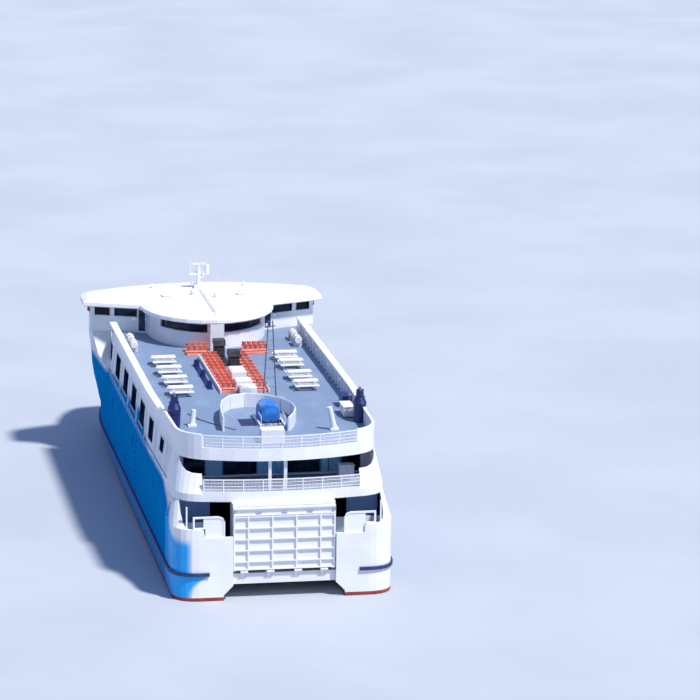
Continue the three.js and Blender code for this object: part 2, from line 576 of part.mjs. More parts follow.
function bridgeWindows() {
  const openings = FRONT_PANES.map((x) => box(x - 1.2, x + 1.2, 47.5, 53, ...WINDOW_Z));
  openings.push(box(-12, 12, 47.2, 48.3, ...WINDOW_Z));
  for (const side of [-1, 1]) {
    const pane = (x0, x1, y0, y1) => box(Math.min(side * x0, side * x1), Math.max(side * x0, side * x1), y0, y1, ...WINDOW_Z);
    openings.push(...WING_PANES.map(([x0, x1]) => pane(x0, x1, 43.5, 47.2)));
    openings.push(...LOUNGE_PANES.map(([x0, x1]) => pane(x0, x1, 36, 41.5)));
  }
  return openings;
}
const bridgeRing = (inset, thickness, z0, z1) => slab(bridgePlan(inset), z0, z1, [bridgePlan(inset + thickness).reverse()]);
addPiece("wheelhouse_walls",
  cut(bridgeRing(WALL_INSET, BRIDGE_WALL, FLOOR_TOP + GAP, Z_ROOF - GAP), bridgeWindows()), "white");
addPiece("wheelhouse_glazing",
  bridgeRing(WALL_INSET + BRIDGE_WALL + GAP, 0.05, FLOOR_TOP + GAP, Z_ROOF - GAP), "glass");

// Roof: one crowned plate; columns are the height and the plan's inset
const ROOF_RINGS = [[0, 0.1], [0.1, 0], [0.38, 0.03], [0.6, 0.45], [0.78, 1.2]];
const roofRing = ([rise, inset]) => bridgePlan(inset).map(([x, y]) => [x, y, Z_ROOF + rise]);
addPiece("bridge_roof", loft(ROOF_RINGS.map(roofRing)), "white");
const ROOF_TOP = Z_ROOF + 0.78;

// Trunk against the lounge's aft wall
const TRUNK = { half: 0.6, y0: 37.35 };
addPiece("aft_trunk", cut(
  box(-TRUNK.half, TRUNK.half, TRUNK.y0, TRUNK.y0 + 1.5, Z_SUN + GAP, Z_ROOF - GAP),
  slab(bridgePlan(WALL_INSET - GAP), 0, 20),
), "white");

// Mast with the radar on the roof
const MAST = { x: 0, y: 49.2, top: 16.6 };
addPiece("roof_mast", join(
  box(MAST.x - 0.45, MAST.x + 0.45, MAST.y - 0.45, MAST.y + 0.45, ROOF_TOP + GAP, ROOF_TOP + 0.3),
  rod([MAST.x, MAST.y, ROOF_TOP + 0.1], [MAST.x, MAST.y, MAST.top], 0.24, 8, 0.14),
  box(MAST.x - 0.9, MAST.x + 0.9, MAST.y - 0.16, MAST.y + 0.16, MAST.top - 0.75, MAST.top - 0.62),
  rod([MAST.x + 0.75, MAST.y, MAST.top - 0.65], [MAST.x + 0.75, MAST.y, MAST.top + 0.15], 0.2, 10),
  rod([MAST.x - 0.75, MAST.y, MAST.top - 0.65], [MAST.x - 0.75, MAST.y, MAST.top + 0.5], 0.04, 6),
), "white");
addPiece("radar_scanner", join(
  rod([MAST.x, MAST.y, MAST.top + GAP], [MAST.x, MAST.y, MAST.top + 0.2], 0.12, 12),
  box(MAST.x - 0.62, MAST.x + 0.62, MAST.y - 0.09, MAST.y + 0.09, MAST.top + 0.18, MAST.top + 0.34),
), "white");

// Funnels at the quarters; the starboard one leans on the bulwark and is cut to it
const FUNNEL = { y: 10.7, shoulder: 13.1, top: 14.1 };
const FUNNEL_X = { port: -7.38, starboard: 7.85 };
function funnel(x) {
  const ring = (half, length, z) => Array.from({ length: 12 }, (_, i) => {
    const turn = (i / 12) * Math.PI * 2;
    return [x + half * Math.cos(turn), FUNNEL.y + length * Math.sin(turn), z];
  });
  return loft([
    ring(0.48, 0.75, Z_SUN + GAP), ring(0.55, 0.8, FUNNEL.shoulder), ring(0.34, 0.5, FUNNEL.shoulder + 0.45),
    ring(0.3, 0.42, FUNNEL.top),
  ]);
}
const bulwarkTop = Z_BULWARK + 0.04 + GAP;
const inboard = slab(deckPlan(SUN_PLAN, 0.22 + GAP), 0, bulwarkTop);
addPiece("funnel_starboard", funnel(FUNNEL_X.starboard).intersect(join(
  inboard, box(5, 12, 8, 13, bulwarkTop, 20),
)), "navy");
addPiece("funnel_port", funnel(FUNNEL_X.port), "navy");

// Seats: blocks of bench rows on low frames, the aft pair between white coamings
const SEATS = { pitch: 1.15, base: 0.12, seat: 0.45, back: 0.85 };
// Columns: name, x from and to, y of the first row, number of rows
const SEAT_BLOCKS = [
  ["seat_block_port", -1.9, -0.6, 21.7, 11], ["seat_block_starboard", 1.2, 2.0, 21.7, 11],
  ["seat_rows_port", -2.9, -0.9, 35.6, 2], ["seat_rows_starboard", 2.1, 4.3, 35.6, 2],
];
function seatBlock(x0, x1, y0, rows) {
  const parts = [box(x0, x1, y0, y0 + rows * SEATS.pitch, Z_SUN + GAP, Z_SUN + SEATS.base)];
  for (let row = 0; row < rows; row += 1) {
    const y = y0 + row * SEATS.pitch;
    parts.push(sideSlab([
      [y + 0.2, Z_SUN + SEATS.base - 0.02], [y + 0.65, Z_SUN + SEATS.base - 0.02], [y + 0.65, Z_SUN + SEATS.seat],
      [y + 0.22, Z_SUN + SEATS.seat], [y + 0.16, Z_SUN + SEATS.back], [y + 0.08, Z_SUN + SEATS.back],
    ], x0 + 0.03, x1 - 0.03));
  }
  return join(parts);
}
for (const [name, x0, x1, y0, rows] of SEAT_BLOCKS) addPiece(name, seatBlock(x0, x1, y0, rows), "coral");

// Exhaust hoods between the seats
function hood(x, y) {
  return join(
    box(x - 0.42, x + 0.42, y - 0.6, y + 0.6, Z_SUN + GAP, Z_SUN + 1.0),
    sideSlab([[y - 0.7, Z_SUN + 0.9], [y + 0.7, Z_SUN + 0.9], [y + 0.5, Z_SUN + 1.35], [y - 0.5, Z_SUN + 1.35]], x - 0.5, x + 0.5),
  );
}
addPiece("exhaust_hoods", join(
  hood(-0.05, 35.9), hood(0.6, 31.6), box(-0.3, 0.3, 31.2, 36, Z_SUN + GAP, Z_SUN + 0.12),
), "dark");

// Tables with deep aprons and their benches
const TABLE = { half: 1.03, top: 0.45, height: 0.76, bench0: 0.6, bench1: 1.0, seat: 0.46 };
// Columns: name, x of the row, y of each table
const TABLE_ROWS = [
  ["tables_port", -5.4, [21.4, 25.1, 28.8, 32.5]], ["tables_starboard", 5.35, [22.3, 25.7, 30.0, 33.1]],
];
function deckTable(x, y) {
  const { half, top, height, bench0, bench1, seat } = TABLE;
  const z = (rise) => Z_SUN + rise;
  const parts = [
    box(x - half, x + half, y - top, y + top, z(height - 0.08), z(height)),
    box(x - half + 0.06, x + half - 0.06, y - top + 0.05, y + top - 0.05, z(height - 0.32), z(height - 0.07)),
    box(x - half, x + half, y - bench1, y - bench0, z(seat - 0.07), z(seat)),
    box(x - half, x + half, y + bench0, y + bench1, z(seat - 0.07), z(seat)),
  ];
  for (const side of [-0.7, 0.7]) {
    parts.push(box(x + side - 0.05, x + side + 0.05, y - bench1 + 0.04, y + bench1 - 0.04, z(seat - 0.16), z(seat - 0.06)));
    parts.push(box(x + side - 0.05, x + side + 0.05, y - 0.5, y - 0.38, z(GAP), z(height - 0.1)));
    parts.push(box(x + side - 0.05, x + side + 0.05, y + 0.38, y + 0.5, z(GAP), z(height - 0.1)));
  }
  return join(parts);
}
for (const [name, x, places] of TABLE_ROWS) {
  const rails = [-0.7, 0.7].map((side) => box(x + side - 0.06, x + side + 0.06, places[0] - 0.6, places[3] + 0.6,
    Z_SUN + GAP, Z_SUN + 0.06));
  addPiece(name, join(places.map((y) => deckTable(x, y)), rails), "white");
}

// Three low deck vents in a row on one curb
addPiece("deck_vents", join(
  box(-2.9, -2.4, 23.0, 32.2, Z_SUN + GAP, Z_SUN + 0.06),
  [23.8, 27.7, 31.5].map((y) => rod([-2.65, y, Z_SUN + 0.03], [-2.65, y, Z_SUN + 0.6], 0.27, 10, 0.22)),
), "navy");

// Stair screen: a horseshoe wall, open aft, round the stairway, by points on its outer face
const SCREEN_THICKNESS = 0.14;
const SCREEN_LINE = [
  [1.6, 8.1], [2.3, 9.7], [2.72, 11.4], [2.7, 13.1], [2.1, 14.9], [0.8, 16.3], [-0.7, 16.8], [-2.1, 16.2], [-3.0, 14.6],
  [-3.4, 12.6], [-3.6, 10.6], [-3.7, 8.8],
];
function strip(line, thickness) {
  const inner = line.map(([x, y], i) => {
    const [ax, ay] = line[Math.max(i - 1, 0)];
    const [bx, by] = line[Math.min(i + 1, line.length - 1)];
    const length = Math.hypot(bx - ax, by - ay);
    return [x - ((by - ay) / length) * thickness, y + ((bx - ax) / length) * thickness];
  });
  return [...line, ...inner.reverse()];
}
addPiece("stair_screen", slab(strip(SCREEN_LINE, SCREEN_THICKNESS), Z_SUN + GAP, Z_SUN + 1.1), "white");

// Canvas hood over the stairway, and the white locker aft of it
const HOOD = { x0: -0.4, x1: 1.42, y0: 10.9, y1: 13.3, eave: 12.6, ridge: 13.1 };
addPiece("companion_hood", join(
  box(HOOD.x0, HOOD.x1, HOOD.y0, HOOD.y1, Z_SUN + GAP, HOOD.eave),
  faceSlab([[HOOD.x0, HOOD.eave - 0.02], [HOOD.x1, HOOD.eave - 0.02], [HOOD.x1 - 0.35, HOOD.ridge - 0.12],
    [(HOOD.x0 + HOOD.x1) / 2, HOOD.ridge], [HOOD.x0 + 0.35, HOOD.ridge - 0.12]], HOOD.y0 + 0.1, HOOD.y1 - 0.1),
), "canvas");
addPiece("aft_locker", box(-1.2, 0.68, 4.6, 5.8, Z_SUN + GAP, Z_SUN + 1.05), "white");

// Signal mast: two poles that close up towards their tops, with rungs between them
const SIGNAL = { y: 19.0, foot: [1.2, 2.3], head: [1.6, 1.95], top: 18.2, rungs: 8, first: 1.1 };
function signalMast() {
  const { y, foot, head, top, rungs, first } = SIGNAL;
  const poleX = (i, z) => foot[i] + ((head[i] - foot[i]) * (z - Z_SUN)) / (top - Z_SUN);
  const parts = [box(foot[0] - 0.2, foot[1] + 0.2, y - 0.2, y + 0.2, Z_SUN + GAP, Z_SUN + 0.08)];
  for (const i of [0, 1]) parts.push(rod([foot[i], y, Z_SUN + 0.04], [head[i], y, top], 0.06, 6, 0.05));
  for (let rung = 0; rung < rungs; rung += 1) {
    const z = Z_SUN + first + (rung * (top - Z_SUN - first - 0.1)) / (rungs - 1);
    parts.push(bar([poleX(0, z), y, z], [poleX(1, z), y, z], 0.04));
  }
  return join(parts);
}
addPiece("signal_mast", signalMast(), "rail");

// Raked ventilators beside the stairway
// Columns: name, x and y of the foot, how far the head leans to starboard, height
const VENTILATORS = [["ventilator_port", -5.9, 10.9, 0.15, 1.35], ["ventilator_starboard", 5.3, 8.2, -0.4, 1.9]];
for (const [name, x, y, lean, height] of VENTILATORS) {
  addPiece(name, join(
    box(x - 0.35, x + 0.35, y - 0.35, y + 0.35, Z_SUN + GAP, Z_SUN + 0.16),
    rod([x, y, Z_SUN + 0.1], [x + lean, y, Z_SUN + height], 0.26, 10, 0.2),
  ), "white");
}

// Bollards at the bow, in pairs on their base plates
function bollards(x, y, z) {
  return join(
    box(x - 0.25, x + 0.25, y - 0.6, y + 0.6, z + GAP, z + 0.08),
    [-0.35, 0.35].map((step) => rod([x, y + step, z + 0.04], [x, y + step, z + 0.5], 0.14, 10)),
  );
}
addPiece("bollards_port", bollards(-4.3, 57.6, Z_PASS), "dark");
addPiece("bollards_starboard", bollards(4.3, 57.6, Z_PASS), "dark");

// Propellers, shafts and rudders
const PROP = { y: 2.9, z: -1.75, radius: 0.85, hub: 0.2, blades: 4, pitch: 38 };

function blade(turn) {
  const shape = new THREE.Shape();
  shape.moveTo(-0.14, 0);
  shape.quadraticCurveTo(-0.42, PROP.radius * 0.55, -0.12, PROP.radius - PROP.hub * 0.4);
  shape.quadraticCurveTo(0, PROP.radius - PROP.hub * 0.2, 0.12, PROP.radius - PROP.hub * 0.4);
  shape.quadraticCurveTo(0.42, PROP.radius * 0.55, 0.14, 0);
  const geometry = new THREE.ExtrudeGeometry(shape, { depth: 0.05, bevelEnabled: false, curveSegments: 4 });
  geometry.translate(0, PROP.hub * 0.4, -0.025).rotateY(THREE.MathUtils.degToRad(PROP.pitch));
  geometry.rotateX(Math.PI / 2).rotateY(turn);
  return toSolid(geometry.translate(HULL_AXIS, PROP.y, PROP.z));
}

function propeller() {
  const hub = rod([HULL_AXIS, PROP.y - 0.22, PROP.z], [HULL_AXIS, PROP.y + 0.2 - GAP, PROP.z], PROP.hub, 16);
  const cone = rod([HULL_AXIS, PROP.y - 0.2, PROP.z], [HULL_AXIS, PROP.y - 0.55, PROP.z], PROP.hub * 0.95, 16, 0.05);
  const blades = Array.from({ length: PROP.blades }, (_, i) => blade((i * Math.PI * 2) / PROP.blades));
  return join(hub, cone, blades);
}

function shaftLine() {
  const bearing = PROP.y + 0.2;
  return fitUnder(join(
    rod([HULL_AXIS, bearing, PROP.z], [HULL_AXIS, bearing + 0.6, PROP.z], PROP.hub, 16),
    rod([HULL_AXIS, bearing + 0.5, PROP.z], [HULL_AXIS, 11.2, PROP.z], 0.11, 10),
    [-0.55, 0.55].map((side) => bar([HULL_AXIS, bearing + 0.3, PROP.z], [HULL_AXIS + side, bearing + 0.3, -0.4], 0.12)),
  ), hullStarboard);
}
addPiece("shaft_starboard", shaftLine(), "bronze");
addPiece("shaft_port", mirrorX(shaftLine()), "bronze");
addPiece("propeller_starboard", propeller(), "bronze");
addPiece("propeller_port", mirrorX(propeller()), "bronze");

function rudderBlade() {
  const { y, ahead, chord, thick, top, bottom } = RUDDER;
  const nose = y + ahead;
  const outline = [
    [0, nose], [thick * 0.7, nose - 0.08], [thick, nose - chord * 0.3], [thick * 0.6, nose - chord * 0.7],
    [0.015, nose - chord], [-0.015, nose - chord], [-thick * 0.6, nose - chord * 0.7], [-thick, nose - chord * 0.3],
    [-thick * 0.7, nose - 0.08],
  ].map(([x, along]) => [x + HULL_AXIS, along]);
  return join(slab(outline.reverse(), bottom, top), rod([HULL_AXIS, y, top - 0.2], [HULL_AXIS, y, RUDDER.boss - GAP], 0.1, 16));
}
addPiece("rudder_starboard", rudderBlade(), "dark");
addPiece("rudder_port", mirrorX(rudderBlade()), "dark");

export default ship;
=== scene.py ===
"""Looks of a twin-hulled car ferry at half size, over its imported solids.

Sizes and places are metres on the full-size ship: x to starboard, y forward from the
transom and z up from the waterline. Every piece's mesh is in the model's own frame.
"""
import math

import bmesh
import bpy
from mathutils import Euler, Matrix, Vector, noise


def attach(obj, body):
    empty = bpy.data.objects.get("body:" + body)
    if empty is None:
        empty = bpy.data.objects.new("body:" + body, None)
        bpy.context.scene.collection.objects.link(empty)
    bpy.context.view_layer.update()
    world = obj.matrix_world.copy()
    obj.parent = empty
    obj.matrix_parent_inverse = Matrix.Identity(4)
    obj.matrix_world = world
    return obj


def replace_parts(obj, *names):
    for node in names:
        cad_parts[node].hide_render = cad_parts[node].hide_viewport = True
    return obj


SCALE = 0.5
LENGTH = 60.5
MIDSHIP = LENGTH / 2
SIDES = (-1, 1)

Z_QUARTER = 5.15
Z_PASS = 8.3
Z_SUN_UNDER = 10.8
Z_SUN = 11.5
Z_BULWARK = 12.84
Z_ROOF_TOP = 14.63
OFF_DECK = 0.002

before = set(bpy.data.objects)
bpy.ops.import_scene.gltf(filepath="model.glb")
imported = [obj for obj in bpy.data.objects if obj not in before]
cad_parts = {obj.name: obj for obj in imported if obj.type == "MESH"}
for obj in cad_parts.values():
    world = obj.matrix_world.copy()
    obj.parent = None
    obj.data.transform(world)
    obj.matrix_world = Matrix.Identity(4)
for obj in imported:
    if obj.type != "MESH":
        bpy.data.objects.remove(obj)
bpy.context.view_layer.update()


# Plans of the walls that the fittings stand on
# Columns: half width, taper to the stern, y where the bow starts, y of the tip, half width there, fullness
PLANS = {
    "cabin_foot": (8.62, 0.03, 44, 56, 3.4, 1),
    "sun": (8.4, 0.06, 44, 54.5, 3.4, 1),
    "hull": (8.9, 0, 48, LENGTH, 3.6, 0.75),
    "passenger": (8.7, 0.03, 48, LENGTH, 3.6, 0.75),
}
NARROW_FROM = 18
BOW_STEPS = 7
FLARE_FOOT, FLARE_HEAD = 5.85, 7.7


def blend(low, high, share):
    return low + (high - low) * share


def steps(start, pitch, count):
    """Evenly spaced values."""
    return [start + k * pitch for k in range(count)]


def plan_half(plan, y):
    """Half width at y, forward of the quarters, of a plan whose bow is made of straight steps."""
    half, taper, bow_start, tip, bow_half, bluff = PLANS[plan]
    if y <= bow_start:
        return half * (1 - taper * max(0, 1 - y / NARROW_FROM))
    corners = []
    for step in range(BOW_STEPS + 1):
        turn = math.pi / 2 * step / BOW_STEPS
        fullness = max(0, math.cos(turn)) ** bluff
        along = bow_start + (tip - bow_start) * math.sin(turn)
        corners.append((along, bow_half + (half - bow_half) * fullness))
    for (y0, x0), (y1, x1) in zip(corners, corners[1:]):
        if y <= y1:
            return blend(x0, x1, (y - y0) / (y1 - y0))
    return bow_half


def cabin_x(y, z):
    share = (z - Z_PASS) / (Z_SUN_UNDER - Z_PASS)
    return blend(plan_half("cabin_foot", y), plan_half("sun", y), share)


def topside_x(y, z):
    share = max(0, (z - FLARE_FOOT) / (FLARE_HEAD - FLARE_FOOT))
    return blend(plan_half("hull", y), plan_half("passenger", y), share)


# Materials
class Finish:
    """A material whose sockets take numbers, colours or the sockets of other nodes."""

    def __init__(self, name, **shader):
        self.material = bpy.data.materials.new(name)
        self.material.use_nodes = True
        self.tree = self.material.node_tree
        self.shader = self.tree.nodes["Principled BSDF"]
        for key, value in shader.items():
            self.put(self.shader.inputs[key.replace("_", " ")], value)
        coordinates = self.node("ShaderNodeTexCoord")
        self.place = self.node(
            "ShaderNodeVectorMath",
            {0: coordinates.outputs["Object"], 1: (1 / SCALE,) * 3, 2: (0, MIDSHIP, 0)},
            operation="MULTIPLY_ADD",
        ).outputs[0]
        self.normal = coordinates.outputs["Normal"]

    def put(self, socket, value):
        if isinstance(value, bpy.types.NodeSocket):
            self.tree.links.new(value, socket)
        else:
            socket.default_value = value

    def node(self, kind, sockets=None, **settings):
        made = self.tree.nodes.new(kind)
        for key, value in settings.items():
            setattr(made, key, value)
        for key, value in (sockets or {}).items():
            self.put(made.inputs[key], value)
        return made

    def parts(self, vector):
        return self.node("ShaderNodeSeparateXYZ", {0: vector}).outputs

    def maths(self, operation, *values):
        return self.node("ShaderNodeMath", dict(enumerate(values)), operation=operation).outputs[0]

    def times(self, first, second):
        return self.maths("MULTIPLY", first, second)

    def less(self, first, second):
        return self.maths("SUBTRACT", first, second)

    def most(self, first, second):
        return self.maths("MAXIMUM", first, second)

    def wave(self, value, length):
        return self.maths("SINE", self.times(value, math.tau / length))

    def remap(self, value, low, high, to_low=0.0, to_high=1.0):
        sockets = {"Value": value, "From Min": low, "From Max": high, "To Min": to_low, "To Max": to_high}
        return self.node("ShaderNodeMapRange", sockets, interpolation_type="SMOOTHSTEP").outputs[0]

    def mix(self, share, first, second, mode="MIX"):
        sockets = {0: share, 6: first, 7: second}
        return self.node("ShaderNodeMix", sockets, data_type="RGBA", blend_type=mode).outputs[2]

    def dim(self, colour, grey):
        """A colour times a grey."""
        tint = self.node("ShaderNodeCombineColor", {0: grey, 1: grey, 2: grey}).outputs[0]
        return self.mix(1.0, colour, tint, "MULTIPLY")

    def grain(self, scale, detail=3, stretch=(1, 1, 1)):
        place = self.node("ShaderNodeVectorMath", {0: self.place, 1: stretch}, operation="MULTIPLY")
        sockets = {"Vector": place.outputs[0], "Scale": scale, "Detail": detail}
        return self.node("ShaderNodeTexNoise", sockets).outputs["Fac"]

    def spots(self, low, high, *grain):
        """0 to 1 where a grain passes from low to high."""
        return self.remap(self.grain(*grain), low, high)

    def lines(self, value, pitch, width, shift=0.0):
        """1 on thin lines that repeat along a value, 0 between them."""
        moved = self.maths("ADD", value, shift)
        return self.remap(self.maths("PINGPONG", moved, pitch / 2), width * 0.3, width, 1.0, 0.0)

    def band(self, value, low, high, soft=0.02):
        rise = self.remap(value, low - soft, low + soft)
        fall = self.remap(value, high - soft, high + soft, 1.0, 0.0)
        return self.times(rise, fall)

    def colour(self, value):
        self.put(self.shader.inputs["Base Color"], value)

    def rough(self, low, high, scale, detail):
        """A roughness that wanders between two values."""
        self.put(self.shader.inputs["Roughness"], self.remap(self.grain(scale, detail), 0.3, 0.7, low, high))

    def bump(self, height, distance):
        """The last step: relief from a height."""
        made = self.node("ShaderNodeBump", {"Height": height, "Distance": distance, "Strength": 1.0})
        self.put(self.shader.inputs["Normal"], made.outputs[0])
        return self.material


GRIME = (0.34, 0.29, 0.24, 1)
WHITE = (0.82, 0.83, 0.85)
BLUE = (0.002, 0.23, 0.55)
# Lighter blue: painted light on the painted shade of the port quarter
PAINTED_LIT_BLUE = (0.027, 0.42, 0.95, 1)
ANTIFOULING = (0.33, 0.055, 0.05, 1)
DECK_BLUE = (0.195, 0.265, 0.39)
FRAME_SPACING = 0.8


def painted(name, colour, roughness, mottle, streak, seams, dents, gloss):
    """Brushed and rolled ship's paint over welded plate. colour may be a function of the finish."""
    made = Finish(name, Specular_IOR_Level=gloss)
    base = colour(made) if callable(colour) else (*colour, 1)
    x, y, z = made.parts(made.place)
    blotch = made.remap(made.grain(0.45, 5), 0.35, 0.7, 1 - mottle, 1.0)
    runs = made.remap(made.grain(1.1, 4, (2.2, 2.2, 0.16)), 0.55, 0.8, 0.0, streak)
    made.colour(made.mix(runs, made.dim(base, blotch), GRIME))
    made.rough(roughness - 0.08, roughness + 0.1, 3.5, 4)
    weld = made.most(made.lines(y, seams[0], 0.03), made.lines(z, seams[1], 0.03, 0.4))
    weld = made.most(weld, made.lines(x, seams[0], 0.03, 0.6))
    height = made.maths("MULTIPLY_ADD", weld, 0.5, made.times(made.grain(0.9, 2), dents * 4))
    height = made.maths("MULTIPLY_ADD", made.wave(y, FRAME_SPACING), dents * 0.12, height)
    height = made.maths("MULTIPLY_ADD", made.grain(45, 2), 0.12, height)
    return made.bump(height, 0.006)


# Columns: y and the height up to which the sides are blue
BLUE_TOP = [
    (0, 4.9), (1.0, 5.1), (2.8, 6.3), (6.4, 7.4), (10.2, 8.1), (17.2, 8.2), (23.2, 9.7), (30, 9.3),
    (37.4, 8.9), (45, 8.3), (52, 7.7), (LENGTH, 6.8),
]
CURVE_HEIGHT = 12
# The blue climbs on the bridge's supports, which stand out past the sides
SUPPORT_FROM, SUPPORT_CLIMB = 8.95, 1.5
# The blue of painted shade on the port quarter: its edge from the ship's middle, which sweeps inwards up to
# the fender as the fender's painted shadow
QUARTER_SHADE_EDGE, FENDER_SHADOW_SWEEP, FENDER_Z = 7.55, 1.4, 2.0
RED_TOP = (0.26, 0.32)


def hull_colour(made, ledges=False):
    """White ends, blue sides that fade into them, painted shade with painted light in a lighter blue round
    the port quarter, and red bottom paint.

    Flat tops are white, unless ledges says that they follow the sides.
    """
    x, y, z = made.parts(made.place)
    across = made.maths("ABSOLUTE", x)
    curve = made.node("ShaderNodeFloatCurve", {"Value": made.maths("DIVIDE", y, LENGTH)})
    points = curve.mapping.curves[0].points
    for _ in range(len(BLUE_TOP) - 2):
        points.new(0.5, 0.5)
    for point, (along, height) in zip(points, BLUE_TOP):
        point.location = (along / LENGTH, height / CURVE_HEIGHT)
    curve.mapping.update()
    support = made.times(made.most(made.less(across, SUPPORT_FROM), 0.0), SUPPORT_CLIMB)
    edge = made.maths("MULTIPLY_ADD", curve.outputs[0], CURVE_HEIGHT, support)
    wander = made.times(made.grain(0.35, 2), 0.5)
    below = made.remap(made.less(made.maths("ADD", edge, wander), z), -0.05, 0.75)
    side = made.remap(y, 3.4, 4.6)
    # Painted shadow of the fender: under it, the port quarter's painted shade sweeps inwards
    rise = made.maths("POWER", made.most(made.maths("DIVIDE", z, FENDER_Z), 0.0), 3.0)
    under_fender = made.remap(z, FENDER_Z, FENDER_Z + 0.1, 1.0, 0.0)
    fender_shadow = made.times(made.times(rise, FENDER_SHADOW_SWEEP), under_fender)
    # Painted shade: blue on the port quarter alone, where its white corner turns away from the light
    shade_edge = made.less(made.less(0.0, x), made.less(QUARTER_SHADE_EDGE, fender_shadow))
    port_quarter_shade = made.times(made.remap(shade_edge, -0.3, 0.25), made.remap(y, 4.0, 5.0, 1.0, 0.0))
    outer = made.most(made.remap(across, 5.0, 5.25), made.remap(z, 1.1, 1.3))
    blue = made.times(made.times(made.most(side, port_quarter_shade), below), outer)
    if not ledges:
        upright = made.remap(made.maths("ABSOLUTE", made.parts(made.normal)[2]), 0.6, 0.75, 1.0, 0.0)
        blue = made.times(blue, upright)
    # Painted light: the port quarter's painted shade is a lighter blue where its curve catches the light
    tone = made.mix(made.times(port_quarter_shade, 0.85), (*BLUE, 1), PAINTED_LIT_BLUE)
    slime = made.mix(made.spots(0.4, 0.7, 1.6, 5), ANTIFOULING, (0.2, 0.045, 0.04, 1))
    return made.mix(made.remap(z, *RED_TOP), slime, made.mix(blue, (*WHITE, 1), tone))


def deck_colour(made):
    """Blue-grey coating on the deck's top, white on its edges."""
    z = made.parts(made.place)[2]
    flat = made.remap(made.parts(made.normal)[2], 0.6, 0.8)
    coaming = made.most(made.band(z, 8.42, 8.6), made.band(z, 11.72, 11.9))
    top = made.times(flat, made.less(1.0, coaming))
    worn = made.mix(made.spots(0.45, 0.75, 0.5, 5, (1, 0.5, 1)), (*DECK_BLUE, 1), (0.23, 0.31, 0.45, 1))
    return made.mix(top, hull_colour(made, True), worn)


def floor_colour(made):
    """Dark non-slip floor with worn lane lines."""
    lane = made.lines(made.parts(made.place)[0], 2.9, 0.08, 1.45)
    worn = made.times(lane, made.spots(0.3, 0.55, 2.2, 4))
    tracks = made.spots(0.4, 0.7, 0.6, 4, (2.5, 0.2, 1))
    base = made.mix(tracks, (0.09, 0.1, 0.11, 1), (0.15, 0.16, 0.17, 1))
    return made.mix(made.times(worn, 0.8), base, (0.6, 0.6, 0.55, 1))


# Columns: x from and to of each pale patch of painted sky reflection on the balcony's aft glass, softness of
# its edges
SKY_REFLECTIONS = [(-5.4, -4.0, 0.12), (4.0, 5.6, 0.2), (-1.2, -0.3, 0.1)]


def glass(name, gloss):
    """Tinted glass that shows a dim room behind it, with pale patches of painted sky reflection on the
    balcony's aft panes.
    """
    made = Finish(name, Roughness=0.07, Specular_IOR_Level=gloss)
    x, y, z = made.parts(made.place)
    room = made.mix(made.spots(0.4, 0.65, 0.8, 3), (0.004, 0.008, 0.02, 1), (0.014, 0.026, 0.06, 1))
    # Painted reflection: pale sky-blue patches on the aft panes, rippled across
    aft = made.times(made.remap(y, 7.2, 7.6, 1.0, 0.0), made.remap(z, 11.0, 11.2, 1.0, 0.0))
    first, second, third = [made.band(x, *row) for row in SKY_REFLECTIONS]
    reflection = made.most(made.most(first, second), third)
    ripples = made.remap(made.wave(x, 0.16), -1, 1, 0.6, 1.0)
    painted_reflection = made.times(made.times(reflection, aft), ripples)
    made.colour(made.mix(painted_reflection, room, (0.35, 0.68, 0.92, 1)))
    return made.bump(made.grain(0.5, 1), 0.01)


def rubber():
    made = Finish("fender_rubber", Roughness=0.55)
    scuff = made.spots(0.5, 0.75, 4, 6, (1, 0.4, 3))
    made.colour(made.mix(scuff, (0.012, 0.03, 0.13, 1), (0.05, 0.09, 0.22, 1)))
    return made.bump(made.maths("MULTIPLY_ADD", made.grain(14, 4), 0.5, scuff), 0.004)


def metal(name, colour, roughness, metallic=1.0, wear=(0.5, 0.5, 0.5), scale=8):
    made = Finish(name, Metallic=metallic)
    made.colour(made.mix(made.spots(0.5, 0.72, scale, 6), (*colour, 1), (*wear, 1)))
    made.rough(roughness, roughness + 0.2, scale * 2, 3)
    return made.bump(made.grain(scale * 5, 3), 0.002)


def moulded(name, colour, faded, roughness=0.5):
    """Sun-faded moulded plastic with a fine leathered grain."""
    made = Finish(name, Coat_Weight=0.1, Coat_Roughness=0.3)
    made.colour(made.mix(made.spots(0.35, 0.7, 1.2, 5), (*colour, 1), (*faded, 1)))
    made.rough(roughness - 0.1, roughness + 0.1, 6, 3)
    return made.bump(made.grain(60, 2), 0.0015)


def canvas():
    """Blue canvas: a plain weave, sun-faded on its folds."""
    made = Finish("blue_canvas", Roughness=0.88, Sheen_Weight=0.35, Sheen_Roughness=0.5)
    x, y, z = [made.wave(axis, 0.03) for axis in made.parts(made.place)]
    threads = made.maths("ADD", made.times(x, y), made.times(y, z))
    tone = made.mix(made.spots(0.38, 0.68, 1.5, 5), (0.006, 0.13, 0.5, 1), (0.02, 0.25, 0.75, 1))
    made.colour(made.dim(tone, made.remap(threads, -1.5, 1.5, 0.86, 1.0)))
    return made.bump(made.maths("MULTIPLY_ADD", threads, 0.15, made.grain(5, 3)), 0.005)


def lamp(name, colour, strength):
    made = Finish(name, Roughness=0.15, Emission_Color=(*colour, 1), Emission_Strength=strength)
    ribs = made.lines(made.parts(made.place)[2], 0.04, 0.012)
    made.colour(made.mix(ribs, (*colour, 1), (0.1, 0.1, 0.1, 1)))
    return made.bump(ribs, 0.002)


